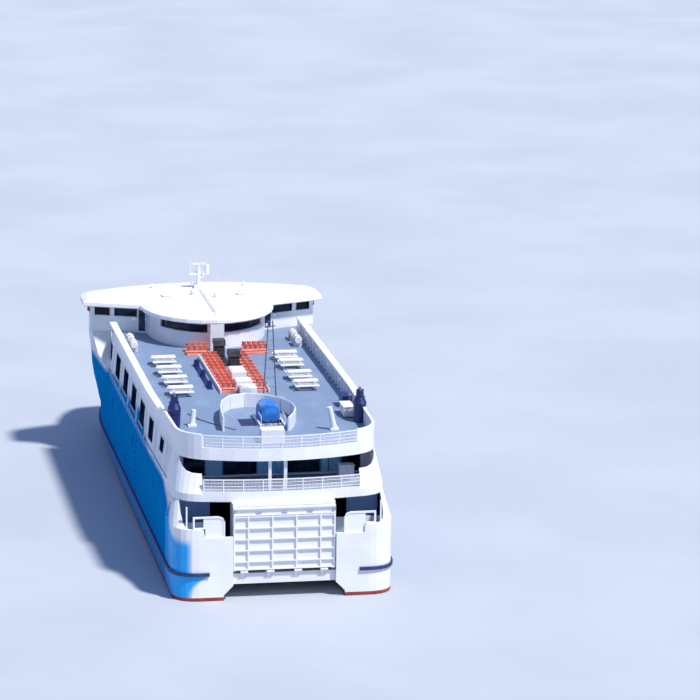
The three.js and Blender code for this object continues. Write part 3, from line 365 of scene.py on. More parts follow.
# Columns: material's name, colour, roughness, mottle, streak, spacing of welds along and up, dents, gloss
PAINTS = {
    "hull": ("hull_paint", hull_colour, 0.34, 0.07, 0.05, (2.4, 1.8), 0.35, 0.2),
    "side": ("side_paint", hull_colour, 0.4, 0.1, 0.015, (2.4, 1.8), 0.35, 0.0),
    "white": ("white_paint", WHITE, 0.38, 0.05, 0.06, (2.1, 1.35), 0.35, 0.5),
    "roof": ("roof_paint", (0.86, 0.87, 0.88), 0.38, 0.06, 0.0, (2.7, 9.0), 0.2, 0.5),
    "deck": ("deck_and_edge", deck_colour, 0.55, 0.06, 0.03, (3.1, 9.0), 0.15, 0.25),
    "coating": ("deck_coating", DECK_BLUE, 0.6, 0.06, 0.0, (3.1, 9.0), 0.35, 0.2),
    "floor": ("floor_coating", floor_colour, 0.7, 0.06, 0.0, (2.4, 1.8), 0.2, 0.2),
    "navy": ("navy_paint", (0.006, 0.02, 0.13), 0.38, 0.3, 0.05, (1.2, 1.2), 0.1, 0.5),
    "dark": ("dark_paint", (0.02, 0.022, 0.03), 0.38, 0.3, 0.1, (1.5, 1.5), 0.1, 0.5),
    "grey": ("grey_paint", (0.42, 0.46, 0.54), 0.38, 0.12, 0.1, (1.5, 1.5), 0.1, 0.5),
    "teal": ("teal_paint", (0.1, 0.42, 0.75), 0.38, 0.06, 0.0, (2.1, 2.1), 0.1, 0.5),
    "bulkhead": ("bulkhead_paint", (0.12, 0.23, 0.42), 0.38, 0.06, 0.05, (1.2, 1.3), 0.35, 0.5),
    "blue": ("side_fittings_paint", BLUE, 0.4, 0.06, 0.01, (2.4, 1.8), 0.35, 0.0),
    "frame": ("side_window_frames", (0.004, 0.012, 0.05), 0.38, 0.06, 0.0, (0.6, 0.6), 0.35, 0.0),
    "pale": ("pale_grey_paint", (0.6, 0.62, 0.63), 0.38, 0.08, 0.1, (1.5, 1.5), 0.1, 0.5),
}
MATERIALS = {key: painted(*row) for key, row in PAINTS.items()}
MATERIALS.update({
    "rail": metal("rail_paint", (0.78, 0.79, 0.83), 0.28, 0.0, (0.62, 0.62, 0.64)),
    "pole": metal("pole_paint", (0.1, 0.12, 0.18), 0.35, 0.0, (0.2, 0.22, 0.26)),
    "steel": metal("steel", (0.62, 0.63, 0.65), 0.22),
    "bronze": metal("bronze", (0.62, 0.38, 0.14), 0.25, 1.0, (0.3, 0.24, 0.12), 5),
    "rust": metal("galvanised", (0.35, 0.36, 0.38), 0.5, 0.7, (0.28, 0.15, 0.08), 6),
    "rubber": rubber(),
    "black": moulded("black_rubber", (0.015, 0.015, 0.018), (0.035, 0.035, 0.04), 0.6),
    "glass": glass("window_glass", 0.15),
    "side_glass": glass("side_window_glass", 0.0),
    "coral": moulded("coral_plastic", (0.82, 0.2, 0.13), (0.9, 0.36, 0.26)),
    "ivory": moulded("white_plastic", (0.8, 0.8, 0.82), (0.7, 0.7, 0.71)),
    "orange": moulded("orange_plastic", (0.75, 0.16, 0.02), (0.8, 0.26, 0.08)),
    "canvas": canvas(),
    "red_lamp": lamp("red_lamp", (0.6, 0.01, 0.01), 0.3),
    "green_lamp": lamp("green_lamp", (0.01, 0.4, 0.08), 0.3),
    "clear_lamp": lamp("clear_lamp", (0.75, 0.75, 0.7), 0.4),
})

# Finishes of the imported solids. A name that ends in _ has a starboard node and a port node
NODE_FINISH = {
    "hull": "hull_ cross_deck quarter_",
    "side": "side_ cabin_walls bridge_floor",
    "white": "stern_portal bow_portal stern_door bow_door mooring_guard_ balcony_bulwark_ bow_bulwark "
             "sun_bulwark_ wheelhouse_walls aft_trunk roof_mast stair_screen aft_locker ventilator_",
    "roof": "bridge_roof",
    "deck": "passenger_deck sun_deck",
    "floor": "vehicle_deck",
    "rubber": "fender_",
    "rail": "balcony_rail sun_rail",
    "glass": "cabin_glazing wheelhouse_glazing",
    "dark": "windlass exhaust_hoods bollards_ rudder_",
    "navy": "funnel_ deck_vents",
    "coral": "seat_block_ seat_rows_",
    "ivory": "tables_ radar_scanner",
    "canvas": "companion_hood",
    "pole": "signal_mast",
    "bronze": "propeller_",
    "steel": "shaft_",
}
SMOOTH_ANGLE = math.radians(32)
BEVEL_ANGLE = math.radians(40)


def smooth(thing):
    """Smooth shading that keeps flat plates flat and edges over the angle sharp."""
    mesh = thing.data
    mesh.polygons.foreach_set("use_smooth", [True] * len(mesh.polygons))
    mesh.set_sharp_from_angle(angle=SMOOTH_ANGLE)
    weighted = thing.modifiers.new("weighted", "WEIGHTED_NORMAL")
    weighted.keep_sharp = True


for finish, names in NODE_FINISH.items():
    for name in names.split():
        for end in ("starboard", "port") if name.endswith("_") else ("",):
            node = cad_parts[name + end]
            node.data.materials.clear()
            node.data.materials.append(MATERIALS[finish])
            smooth(node)


def linked(name, data):
    """A new object in the scene."""
    thing = bpy.data.objects.new(name, data)
    bpy.context.scene.collection.objects.link(thing)
    return thing


# Mesh building, in ship metres
class Piece:
    """Solids gathered into one object. The finish of each is a key of MATERIALS.

    Heights are over the piece's base, such as the deck that it stands on.
    """

    def __init__(self, name, finish="white", body="ship", bevel=0.02, base=0.0):
        self.name = name
        self.finish = finish
        self.body = body
        self.bevel = bevel
        self.base = base
        self.mesh = bmesh.new()
        self.finishes = []

    def hull(self, rings, finish=None, solid=True):
        """Joins lines of equal numbers of points: a solid with both ends closed, or an open sheet."""
        rows = [[self.mesh.verts.new(point) for point in ring] for ring in rings]
        count = len(rows[0])
        faces = []
        for low, high in zip(rows, rows[1:]):
            for i in range(count if solid else count - 1):
                j = (i + 1) % count
                faces.append((low[i], low[j], high[j], high[i]))
        if solid:
            faces += [rows[0][::-1], rows[-1]]
        key = finish or self.finish
        if key not in self.finishes:
            self.finishes.append(key)
        for corners in faces:
            self.mesh.faces.new(corners).material_index = self.finishes.index(key)

    def box(self, x0, x1, y0, y1, z0, z1, finish=None):
        x0, x1 = sorted((x0, x1))
        y0, y1 = sorted((y0, y1))
        self.prism([(x0, y0), (x1, y0), (x1, y1), (x0, y1)], "z", z0, z1, finish)

    def block(self, x, y, wide, long, z0, z1, finish=None):
        """A box of two half sizes round an upright line."""
        self.box(x - wide, x + wide, y - long, y + long, z0, z1, finish)

    def prism(self, outline, axis, low, high, finish=None):
        """An outline of two coordinates, raised along the axis that it leaves out."""
        rings = []
        for value in (low, high):
            ring = []
            for a, b in outline:
                ring.append({"x": (value, a, b), "y": (a, value, b), "z": (a, b, value)}[axis])
            rings.append(ring)
        self.hull(rings, finish)

    def plate(self, line, x0, x1, low, high, z0, z1, finish=None):
        """An upright plate on a line that gives y for x, from low to high forward of it."""
        y0, y1 = line(x0), line(x1)
        self.prism([(x0, y0 + low), (x1, y1 + low), (x1, y1 + high), (x0, y0 + high)], "z", z0, z1, finish)

    def rod(self, start, end, radius, tip=None, sides=10, finish=None):
        self.tube([start, end], [radius, radius if tip is None else tip], sides, finish)

    def tube(self, points, radii, sides=8, finish=None):
        """A round tube along points; radii is one number or one for each point."""
        points = [Vector(point) for point in points]
        if not isinstance(radii, list):
            radii = [radii] * len(points)
        rings = []
        side = None
        for i, point in enumerate(points):
            ahead = points[min(i + 1, len(points) - 1)] - points[max(i - 1, 0)]
            ahead.normalize()
            if side is None:
                side = ahead.orthogonal().normalized()
            side = (side - ahead * side.dot(ahead)).normalized()
            up = ahead.cross(side)
            ring = []
            for turn in steps(0, math.tau / sides, sides):
                ring.append(point + (side * math.cos(turn) + up * math.sin(turn)) * radii[i])
            rings.append(ring)
        self.hull(rings, finish)

    def lathe(self, x, y, profile, sides=20, finish=None):
        """A turned form about an upright line; profile is radius and height."""
        turns = steps(0, math.tau / sides, sides)
        rings = []
        for radius, z in profile:
            rings.append([(x + radius * math.cos(t), y + radius * math.sin(t), z) for t in turns])
        self.hull(rings, finish)

    def patch(self, side, surface, y0, y1, z0, z1, inner, outer, finish=None):
        """A panel on a leaning side wall, from inner to outer beyond its surface."""
        rings = []
        for proud in (inner, outer):
            corners = [(y0, z0), (y1, z0), (y1, z1), (y0, z1)]
            rings.append([(side * (surface(y, z) + proud), y, z) for y, z in corners])
        self.hull(rings, finish)

    def torus(self, centre, axis, big, small, finish=None, sides=24):
        ring = []
        for turn in steps(0, math.tau / sides, sides + 1):
            a, b = big * math.cos(turn), big * math.sin(turn)
            ring.append(Vector(centre) + Vector({"x": (0, a, b), "y": (a, 0, b), "z": (a, b, 0)}[axis]))
        self.tube(ring, small, 8, finish)

    def make(self):
        move = Matrix.Diagonal((SCALE, SCALE, SCALE, 1)) @ Matrix.Translation((0, -MIDSHIP, self.base))
        bmesh.ops.transform(self.mesh, matrix=move, verts=self.mesh.verts)
        bmesh.ops.recalc_face_normals(self.mesh, faces=self.mesh.faces)
        mesh = bpy.data.meshes.new(self.name)
        self.mesh.to_mesh(mesh)
        self.mesh.free()
        thing = linked(self.name, mesh)
        for key in self.finishes:
            mesh.materials.append(MATERIALS[key])
        if self.bevel:
            edge = thing.modifiers.new("edges", "BEVEL")
            edge.width = self.bevel * SCALE
            edge.segments = 2
            edge.limit_method = "ANGLE"
            edge.angle_limit = BEVEL_ANGLE
        smooth(thing)
        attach(thing, self.body)
        return thing


# Panes, frames, rubbers and sills on the cabin's sides
# Columns: y of the window's middle, its length, bottom and top
CABIN_WINDOWS = [
    (11.3, 1.4, 9.5, 10.4), (17.0, 2.0, 9.0, 10.6), (22.6, 2.6, 8.9, 10.65), (28.3, 2.6, 8.9, 10.65),
    (34.0, 2.6, 8.9, 10.65), (39.6, 2.6, 8.9, 10.65), (45.3, 1.8, 9.3, 10.5),
]


def window_frames():
    frames = Piece("cabin_window_frames", "frame", bevel=0.01)
    for side in SIDES:
        for middle, length, low, high in CABIN_WINDOWS:
            y0, y1 = middle - length / 2, middle + length / 2
            # Columns: y from and to, z from and to, how far in and out of the wall, finish
            strips = [
                (y0 - 0.01, y1 + 0.01, low - 0.01, high + 0.01, -0.05, -0.012, "side_glass"),
                (y0 - 0.09, y1 + 0.09, high, high + 0.09, -0.03, 0.02),
                (y0 - 0.09, y1 + 0.09, low - 0.09, low, -0.03, 0.02),
                (y0 - 0.09, y0, low, high, -0.03, 0.02),
                (y1, y1 + 0.09, low, high, -0.03, 0.02),
                (y0, y1, high - 0.05, high, -0.04, -0.01),
                (y0, y1, low, low + 0.05, -0.04, -0.01),
                (y0, y0 + 0.05, low, high, -0.04, -0.01),
                (y1 - 0.05, y1, low, high, -0.04, -0.01),
                (middle - 0.04, middle + 0.04, low, high, -0.04, -0.005),
                (y0 - 0.13, y1 + 0.13, low - 0.14, low - 0.09, -0.03, 0.08, "rail"),
                (y0 - 0.13, y1 + 0.13, high + 0.12, high + 0.15, -0.03, 0.06, "rail"),
            ]
            for strip in strips:
                frames.patch(side, cabin_x, *strip)
    frames.make()


# Railings: thin uprights between the bars of the aft rails
MESH_PITCH = 0.11


def rail_infill(name, half, aft, camber, plan_half_width, low, high):
    """A light mesh under the top bar of an aft rail, on the curve of its deck's edge."""
    infill = Piece(name, "rail", bevel=0)

    def edge(x, z):
        return (x, aft + camber * (x / plan_half_width) ** 2 + 0.1, z)

    count = int(half * 2 / MESH_PITCH)
    places = [-half + i * half * 2 / count for i in range(count + 1)]
    for x in places:
        infill.rod(edge(x, low), edge(x, high), 0.016, sides=4)
    rows = int((high - low) / MESH_PITCH)
    for row in range(1, rows):
        z = low + (high - low) * row / rows
        infill.tube([edge(x, z) for x in places[::4]] + [edge(half, z)], 0.011, 4)
    infill.make()


def bulwark_brackets():
    """Triangular stiffeners inside the sun deck's bulwarks."""
    brackets = Piece("bulwark_brackets", bevel=0.006)
    foot, top = Z_SUN + 0.02, Z_BULWARK - 0.16
    for side in SIDES:
        for y in steps(12.3, 1.4, 22):
            face = plan_half("sun", y) - 0.16
            outline = [(face + 0.01, foot), (face - 0.26, foot), (face - 0.05, top), (face + 0.01, top)]
            brackets.prism([(side * x, z) for x, z in outline], "y", y - 0.02, y + 0.02)
    brackets.make()


def balcony_fittings():
    """The door to the balcony, the posts before it, a locker, and lamps under the sun deck."""
    piece = Piece("balcony_door", bevel=0.012, base=Z_PASS)
    under = Z_SUN_UNDER - Z_PASS
    for x in (-0.92, 0.32):
        piece.box(x - 0.13, x + 0.13, 1.95, 2.2, 0.01, under - 0.01)
    piece.box(-0.04, 1.04, 6.62, 6.7, 0.14, 2.34, "teal")
    piece.box(0.46, 0.54, 6.59, 6.63, 0.16, 2.3, "steel")
    for x in (0.38, 0.62):
        piece.box(x - 0.02, x + 0.02, 6.54, 6.6, 1.0, 1.35, "steel")
    piece.box(5.1, 6.3, 4.5, 5.3, 0.01, 1.1)
    piece.box(5.06, 6.34, 4.46, 5.34, 1.1, 1.18)
    piece.box(5.66, 5.74, 4.47, 4.52, 0.8, 1.0, "steel")
    for x in (-5.5, -2.8, 3.8, 6.0):
        piece.box(x - 0.2, x + 0.2, 4.1, 4.25, under - 0.08, under - 0.005, "clear_lamp")
    for x in (-5.5, -3.7, -1.9, 2.9, 4.6, 6.0):
        piece.box(x - 0.03, x + 0.03, 6.68, 6.76, 0.14, 2.34, "navy")
    piece.make()


# Seats: moulded shells on steel legs, in rows on a low platform
# Columns: node replaced, x from and to, seats across, y of the first row, rows
SEAT_BLOCKS = [
    ("seat_block_port", -1.9, -0.6, 3, 21.7, 11), ("seat_block_starboard", 1.2, 2.0, 2, 21.7, 11),
    ("seat_rows_port", -2.9, -0.9, 4, 35.6, 2), ("seat_rows_starboard", 2.1, 4.3, 5, 35.6, 2),
]
SEAT_PITCH = 1.15
SEAT_BAR_Z = 0.37
# Places across a seat, from its middle out to its edges
SEAT_SHARES = [k / 3 for k in range(-3, 4)]
# Columns: distance ahead of the row's start and height over the deck, front edge to top of the back
SEAT_PROFILE = [
    (0.68, 0.37), (0.66, 0.43), (0.55, 0.45), (0.38, 0.42), (0.26, 0.43), (0.2, 0.5), (0.15, 0.68),
    (0.11, 0.83), (0.07, 0.86),
]


def seat_shell(piece, x, y, width):
    """One shell, dished across its seat and back, as rings round its profile from side to side."""
    rings = []
    for share in SEAT_SHARES:
        across, dish = x + share * width / 2, 0.05 * share ** 2
        ring = []
        for layer, profile in ((0.0, SEAT_PROFILE), (-0.035, SEAT_PROFILE[::-1])):
            for along, height in profile:
                ring.append((across, y + along + dish * 0.8 + layer * 0.2, height + dish + layer))
        rings.append(ring)
    piece.hull(rings)


def seats():
    for node, x0, x1, across, y0, rows in SEAT_BLOCKS:
        piece = Piece(node + "_shells", "coral", bevel=0, base=Z_SUN)
        width = (x1 - x0) / across
        piece.box(x0, x1, y0, y0 + rows * SEAT_PITCH, OFF_DECK, 0.12)
        for y in steps(y0, SEAT_PITCH, rows):
            for k in range(across):
                seat_shell(piece, x0 + width * (k + 0.5), y, width * 0.88)
            bar = y + 0.42
            piece.rod((x0 + 0.05, bar, SEAT_BAR_Z), (x1 - 0.05, bar, SEAT_BAR_Z), 0.025, finish="steel")
            for x in (x0 + 0.12, (x0 + x1) / 2, x1 - 0.12):
                piece.rod((x, bar, 0.1), (x, bar, SEAT_BAR_Z), 0.022, finish="steel")
        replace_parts(piece.make(), node)


# Low white kerbs and casings between the seats
# Columns: x from and to, y from and to, height over the deck
KERBS = [(-2.06, -1.94, 21.4, 34.6, 0.34), (2.04, 2.14, 21.4, 34.6, 0.34)]
CASINGS = [(-0.45, 1.0, 20.9, 22.4, 0.55), (-0.4, 1.0, 23.6, 25.0, 0.5), (-0.35, 0.95, 26.4, 28.6, 0.62)]


def casings():
    piece = Piece("seat_casings", base=Z_SUN)
    for x0, x1, y0, y1, height in KERBS + CASINGS:
        piece.box(x0, x1, y0, y1, OFF_DECK, height)
    for x0, x1, y0, y1, height in CASINGS:
        piece.box(x0 + 0.1, x1 - 0.1, y0 + 0.1, y1 - 0.1, height - 0.01, height + 0.06)
        for y in steps(y0 + 0.3, (y1 - y0 - 0.6) / 3, 4):
            piece.box(x0 - 0.02, x1 + 0.02, y - 0.02, y + 0.02, 0.15, height - 0.1, "grey")
    piece.make()


def slat(near, far, z):
    """A louvre's section, from its casing outwards."""
    return [(near, z), (far, z - 0.04), (far, z - 0.02), (near, z + 0.03)]


def exhaust_louvres():
    piece = Piece("exhaust_louvres", "dark", bevel=0, base=Z_SUN)
    for x, y in ((-0.05, 35.9), (0.6, 31.6)):
        for z in steps(0.18, 0.12, 6):
            for side in SIDES:
                piece.prism(slat(x + side * 0.41, x + side * 0.47, z), "y", y - 0.5, y + 0.5)
            piece.prism(slat(y - 0.59, y - 0.65, z), "x", x - 0.36, x + 0.36)
    piece.make()


# Hood of canvas over bows, standing for its plain solid
HOOD_X0, HOOD_X1, HOOD_Y0, HOOD_Y1 = -0.4, 1.42, 10.9, 13.3
HOOD_FOOT, HOOD_RIDGE = 11.56, 13.1
HOOD_MIDDLE = (HOOD_X0 + HOOD_X1) / 2
BOW_PLACES = (0.12, 0.5, 0.88)
# Cells over the hood and along it, and the rows that gather each end
HOOD_ACROSS, HOOD_ALONG, HOOD_END = 40, 36, 6


def hood_point(across, along):
    """A point on the hood; across runs 0 to 1 over the ridge, along 0 to 1 forward."""
    turn = math.pi * across
    profile_x = math.copysign(abs(math.cos(turn)) ** 0.45, -math.cos(turn))
    profile_z = math.sin(turn) ** 0.55
    end = 2 * along - 1
    tuck = 1 - 0.16 * abs(end) ** 6
    x = HOOD_MIDDLE + profile_x * ((HOOD_X1 - HOOD_X0) / 2 - 0.03) * tuck
    y = HOOD_Y0 + 0.05 + along * (HOOD_Y1 - HOOD_Y0 - 0.1)
    sag = 0.07 * min(abs(along - place) for place in BOW_PLACES) / 0.19
    top = HOOD_RIDGE - 0.03 - sag - 0.1 * abs(end) ** 5
    z = HOOD_FOOT + (top - HOOD_FOOT) * profile_z
    fold = noise.noise(Vector((x * 3.1, y * 2.3, z * 1.4)))
    crease = math.sin(y * 16 + z * 3 + fold * 4) * 0.014 * (1 - profile_z) * 2
    return Vector((x + crease + fold * 0.03 * tuck, y + fold * 0.02, z + fold * 0.03 * profile_z))


def hood():
    """One continuous sheet over the bows, with its two ends gathered down to the deck."""
    piece = Piece("stair_hood_canvas", "canvas", bevel=0)
    grid = []
    for i in range(-HOOD_END, HOOD_ALONG + HOOD_END + 1):
        row = []
        for k in range(HOOD_ACROSS + 1):
            point = hood_point(k / HOOD_ACROSS, min(max(i / HOOD_ALONG, 0), 1))
            past = max(-i, i - HOOD_ALONG, 0) / HOOD_END
            if past:
                point = point.lerp(Vector((HOOD_MIDDLE, point.y, HOOD_FOOT)), past * 0.97)
                point.y += (-0.03 if i < 0 else 0.03) * math.sin(past * math.pi)
            row.append(point)
        grid.append(row)
    piece.hull(grid, solid=False)
    thing = piece.make()
    thick = thing.modifiers.new("cloth", "SOLIDIFY")
    thick.thickness = 0.004
    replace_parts(thing, "companion_hood")
    bows = Piece("stair_hood_bows", "steel", bevel=0)
    for place in BOW_PLACES:
        points = []
        for k in range(21):
            point = hood_point(0.04 + 0.92 * k / 20, place)
            points.append(Vector((point.x * 0.985 + 0.006, point.y, point.z - 0.03)))
        points[0].z = points[-1].z = Z_SUN + 0.01
        bows.tube(points, 0.018, 8)
    bows.make()


# Stair screen: a handrail round its top, posts inside it, and the stair's coaming, a black plate of painted
# shade in its opening, treads and rails
SCREEN_LINE = [
    (1.6, 8.1), (2.3, 9.7), (2.72, 11.4), (2.7, 13.1), (2.1, 14.9), (0.8, 16.3), (-0.7, 16.8), (-2.1, 16.2),
    (-3.0, 14.6), (-3.4, 12.6), (-3.6, 10.6), (-3.7, 8.8),
]
SCREEN_THICKNESS = 0.14


def inside_screen(depth):
    """The screen's line moved inwards by a depth."""
    last = len(SCREEN_LINE) - 1
    moved = []
    for i, (x, y) in enumerate(SCREEN_LINE):
        along = Vector(SCREEN_LINE[min(i + 1, last)]) - Vector(SCREEN_LINE[max(i - 1, 0)])
        along.normalize()
        moved.append((x - along.y * depth, y + along.x * depth))
    return moved


def screen_fittings():
    piece = Piece("stair_screen_rail", "rail", bevel=0, base=Z_SUN)
    piece.tube([(x, y, 1.13) for x, y in inside_screen(SCREEN_THICKNESS / 2)], 0.05, 8)
    for x, y in inside_screen(SCREEN_THICKNESS + 0.03)[1:-1]:
        piece.rod((x, y, 0.01), (x, y, 1.05), 0.035, sides=8)
    piece.make()
    hatch = Piece("stair_hatch", base=Z_SUN)
    left, right = HOOD_X0 + 0.02, HOOD_X1 - 0.02
    hatch.box(HOOD_X0 - 0.13, HOOD_X0 - 0.01, 9.5, 13.4, OFF_DECK, 0.22)
    hatch.box(HOOD_X1 + 0.01, HOOD_X1 + 0.13, 9.5, 13.4, OFF_DECK, 0.22)
    hatch.box(HOOD_X0, HOOD_X1, 9.2, 9.5, OFF_DECK, 0.1)
    # Painted shade: a black plate stands for the stairwell's dark opening
    hatch.box(left, right, 9.5, 10.8, OFF_DECK, 0.02, "black")
    for y in steps(9.6, 0.24, 5):
        hatch.box(left, right, y, y + 0.05, 0.015, 0.05, "steel")
    for x in (HOOD_X0 - 0.07, HOOD_X1 + 0.07):
        hatch.tube([(x, 9.4, 0.05), (x, 9.4, 0.85), (x, 9.6, 0.95), (x, 10.9, 0.95)], 0.03, 8, "rail")
    hatch.make()


# Funnels: pipes and bands over the bottle-shaped casings, and steps on the port one
FUNNELS = ((-7.38, 10.7), (7.85, 10.7))
PIPE = [(0.1, 13.9), (0.1, 14.28), (0.125, 14.28), (0.125, 14.34), (0.08, 14.34), (0.08, 14.1)]


def funnel_fittings():
    piece = Piece("funnel_fittings", "dark", bevel=0.01)
    for x, y in FUNNELS:
        for step in (-0.16, 0.16):
            piece.lathe(x, y + step, PIPE, 14, "rust")
        piece.torus((x, y, 14.1), "z", 0.3, 0.035, "navy")
        piece.torus((x, y, 13.56), "z", 0.42, 0.03, "navy")
    for z in (11.9, 12.3, 12.7):
        piece.box(-7.55, -7.2, 9.9, 9.97, z, z + 0.2, "navy")
    piece.make()


# Roof: spine, seams' cappings, hatches, whips, domes, lights and horns
# Columns: x, y, height of the whip
WHIPS = [(-1.6, 49.4, 2.6), (1.7, 49.2, 2.2), (-2.4, 47.6, 1.4), (2.6, 47.2, 1.6)]
# Columns: x, y, radius of the dome
DOMES = [(-0.9, 46.4, 0.26), (0.95, 45.0, 0.2)]


def roof_fittings():
    spine = Piece("roof_spine", "pale", bevel=0.01, base=Z_ROOF_TOP)
    spine.box(-0.13, 0.13, 38.7, 48.6, -0.02, 0.07)
    spine.rod((0, 38.8, -0.01), (0, 37.95, -0.16), 0.11, 0.07)
    for y in steps(38.9, 0.96, 11):
        spine.block(0, y, 0.17, 0.05, -0.02, 0.09)
    spine.box(-0.13, 0.13, 49.8, 51.2, -0.02, 0.07)
    for x in (-3.4, 3.4):
        spine.box(x - 0.35, x + 0.35, 45.6, 46.3, -0.02, 0.12, "white")
        spine.box(x - 0.4, x + 0.4, 45.55, 46.35, 0.1, 0.15, "white")
    spine.make()
    aerials = Piece("roof_aerials", "rail", bevel=0, base=Z_ROOF_TOP)
    for x, y, height in WHIPS:
        aerials.lathe(x, y, [(0.07, -0.02), (0.07, 0.12), (0.03, 0.2)], 10)
        aerials.rod((x, y, 0.15), (x, y, height), 0.016, 0.006, 6)
    for x, y, radius in DOMES:
        dome = [(radius * 0.7, -0.02), (radius * 0.7, 0.12), (radius, 0.2)]
        for turn in steps(math.pi / 12, math.pi / 12, 5):
            dome.append((radius * math.cos(turn), 0.2 + radius * 1.2 * math.sin(turn)))
        dome.append((0.02, 0.2 + radius * 1.2))
        aerials.lathe(x, y, dome, 20, "ivory")
    aerials.make()
    lights = Piece("roof_lights", "ivory", bevel=0.006, base=Z_ROOF_TOP)
    for x in (-4.2, 4.2):
        lights.rod((x, 49.6, -0.1), (x, 49.6, 0.2), 0.04, finish="rail")
        lights.rod((x, 49.5, 0.3), (x, 49.78, 0.28), 0.12, 0.14, 16)
        lights.rod((x, 49.78, 0.28), (x, 49.8, 0.28), 0.12, 0.12, 16, "clear_lamp")
    for x in (-0.35, 0.35):
        lights.rod((x, 50.5, 0.1), (x, 51.0, 0.13), 0.04, 0.1, 14)
    lights.box(-0.5, 0.5, 50.4, 50.6, -0.06, 0.07)
    lights.make()


# Walls of the wheelhouse and of the lounge behind it
WALL_TIP, WALL_FRONT, WALL_DROP = 10.15, 52.1, 2.8
LOUNGE_ROOT, LOUNGE_AFT, LOUNGE_DEPTH, WING_AFT = 5.3, 44.9, 6.9, 46.8
LOUNGE_STEPS = 7
WINDOW_LOW, WINDOW_HIGH = 12.95, 13.7
SIDE_LIGHT = [(0.07, 13.26), (0.09, 13.3), (0.09, 13.46), (0.06, 13.52)]


def bridge_front(x):
    return WALL_FRONT - WALL_DROP * (x / WALL_TIP) ** 2


def wing_aft(x):
    """y of the wings' aft wall, which slants from the tip to the lounge's root."""
    return blend(LOUNGE_AFT, WING_AFT, (abs(x) - LOUNGE_ROOT) / (WALL_TIP - LOUNGE_ROOT))


def lounge_corners(proud):
    """The lounge's aft wall from its root at starboard to its middle, pushed out by an amount."""
    corners = []
    for step in range(LOUNGE_STEPS + 1):
        turn = math.pi / 2 * step / LOUNGE_STEPS
        x, y = LOUNGE_ROOT * math.cos(turn), LOUNGE_AFT - LOUNGE_DEPTH * math.sin(turn)
        corners.append((x + proud * math.cos(turn), y - proud * math.sin(turn)))
    return corners


def along_corners(corners, x0, x1):
    """The part of a line of corners between two values of x, cut at both."""
    line = []
    for (xa, ya), (xb, yb) in zip(corners, corners[1:]):
        for x in (x1, x0):
            if xb <= x <= xa:
                line.append((x, blend(ya, yb, (xa - x) / (xa - xb))))
        if x0 < xb < x1:
            line.append((xb, yb))
    return sorted(set(line))


def trims(over):
    """Heights of the strips under and over the bridge's windows."""
    return ((WINDOW_LOW - 0.08, WINDOW_LOW), (WINDOW_HIGH, WINDOW_HIGH + over))


def wheelhouse_fittings():
    """Window trims, wipers and the side lights on the wings."""
    piece = Piece("wheelhouse_fittings", "rail", bevel=0.006)
    for x in (-8.1, -5.4, -2.7, 0, 2.7, 5.4, 8.1):
        for z0, z1 in trims(0.06):
            piece.plate(bridge_front, x - 1.25, x + 1.25, -0.05, 0.05, z0, z1)
        wiper, y = x + 0.2, bridge_front(x + 0.2) + 0.03
        piece.rod((wiper, y, 13.66), (x - 0.35, y + 0.02, 13.05), 0.012, 0.012, 6, "black")
        piece.rod((wiper, y, 13.68), (wiper, y + 0.05, 13.68), 0.04, 0.04, 8, "dark")
    outer, inner = [along_corners(lounge_corners(proud), 0.68, 4.56) for proud in (0.04, -0.05)]
    ring = outer + inner[::-1]
    for z0, z1 in trims(0.05):
        piece.prism(ring, "z", z0, z1)
        piece.prism([(-x, y) for x, y in ring], "z", z0, z1)
    for side, finish in ((-1, "red_lamp"), (1, "green_lamp")):
        x = side * WALL_TIP
        piece.box(x, x + side * 0.2, 47.2, 47.7, 13.2, 13.26, "dark")
        piece.box(x, x + side * 0.03, 47.2, 47.7, 13.2, 13.6, "dark")
        piece.lathe(x + side * 0.12, 47.5, SIDE_LIGHT, 14, finish)
        for x0, x1 in ((6.1, 8.1), (8.45, 9.8)):
            for x in (side * x0, side * x1):
                y = wing_aft(x)
                piece.box(x - 0.03, x + 0.03, y - 0.035, y + 0.05, WINDOW_LOW - 0.07, WINDOW_HIGH + 0.05)
            for z0, z1 in trims(0.05):
                piece.plate(wing_aft, side * x0, side * x1, -0.04, 0.05, z0, z1)
    piece.make()


# Doors at the wings' roots with their frames, ports, handles, hinges and lamps
# Columns: x from and to, height from and to over the deck, how far out and in of the wall's face, finish
BRIDGE_DOOR = [
    (5.42, 6.0, 0.2, 2.1, 0.03, -0.02, "navy"), (5.36, 5.42, 0.16, 2.16, 0.06, -0.02, "white"),
    (6.0, 6.06, 0.16, 2.16, 0.06, -0.02, "white"), (5.36, 6.06, 2.1, 2.16, 0.06, -0.02, "white"),
    (5.55, 5.87, 1.4, 1.85, 0.035, 0.025, "glass"), (5.9, 5.96, 1.0, 1.06, 0.08, 0.03, "steel"),
    (5.42, 5.47, 0.45, 0.57, 0.05, 0.03, "steel"), (5.42, 5.47, 1.2, 1.32, 0.05, 0.03, "steel"),
    (5.42, 5.47, 1.9, 2.02, 0.05, 0.03, "steel"), (6.3, 6.5, 1.2, 1.3, 0.1, -0.01, "clear_lamp"),
]


def lounge_fittings():
    piece = Piece("bridge_doors", "dark", bevel=0.012, base=Z_SUN)
    for side in SIDES:
        for x0, x1, z0, z1, out, inside, finish in BRIDGE_DOOR:
            piece.plate(wing_aft, side * x0, side * x1, -out, -inside, z0, z1, finish)
    piece.make()


# Mooring platforms: deck, kerb, bulkhead, bitts, a reel with its rope and a post at each quarter
PLATFORM = Z_QUARTER - 0.5
BITT = [(0.14, 0.05), (0.14, 0.5), (0.18, 0.53), (0.18, 0.58), (0.1, 0.6)]
REEL_Y, REEL_Z = 1.9, 0.42


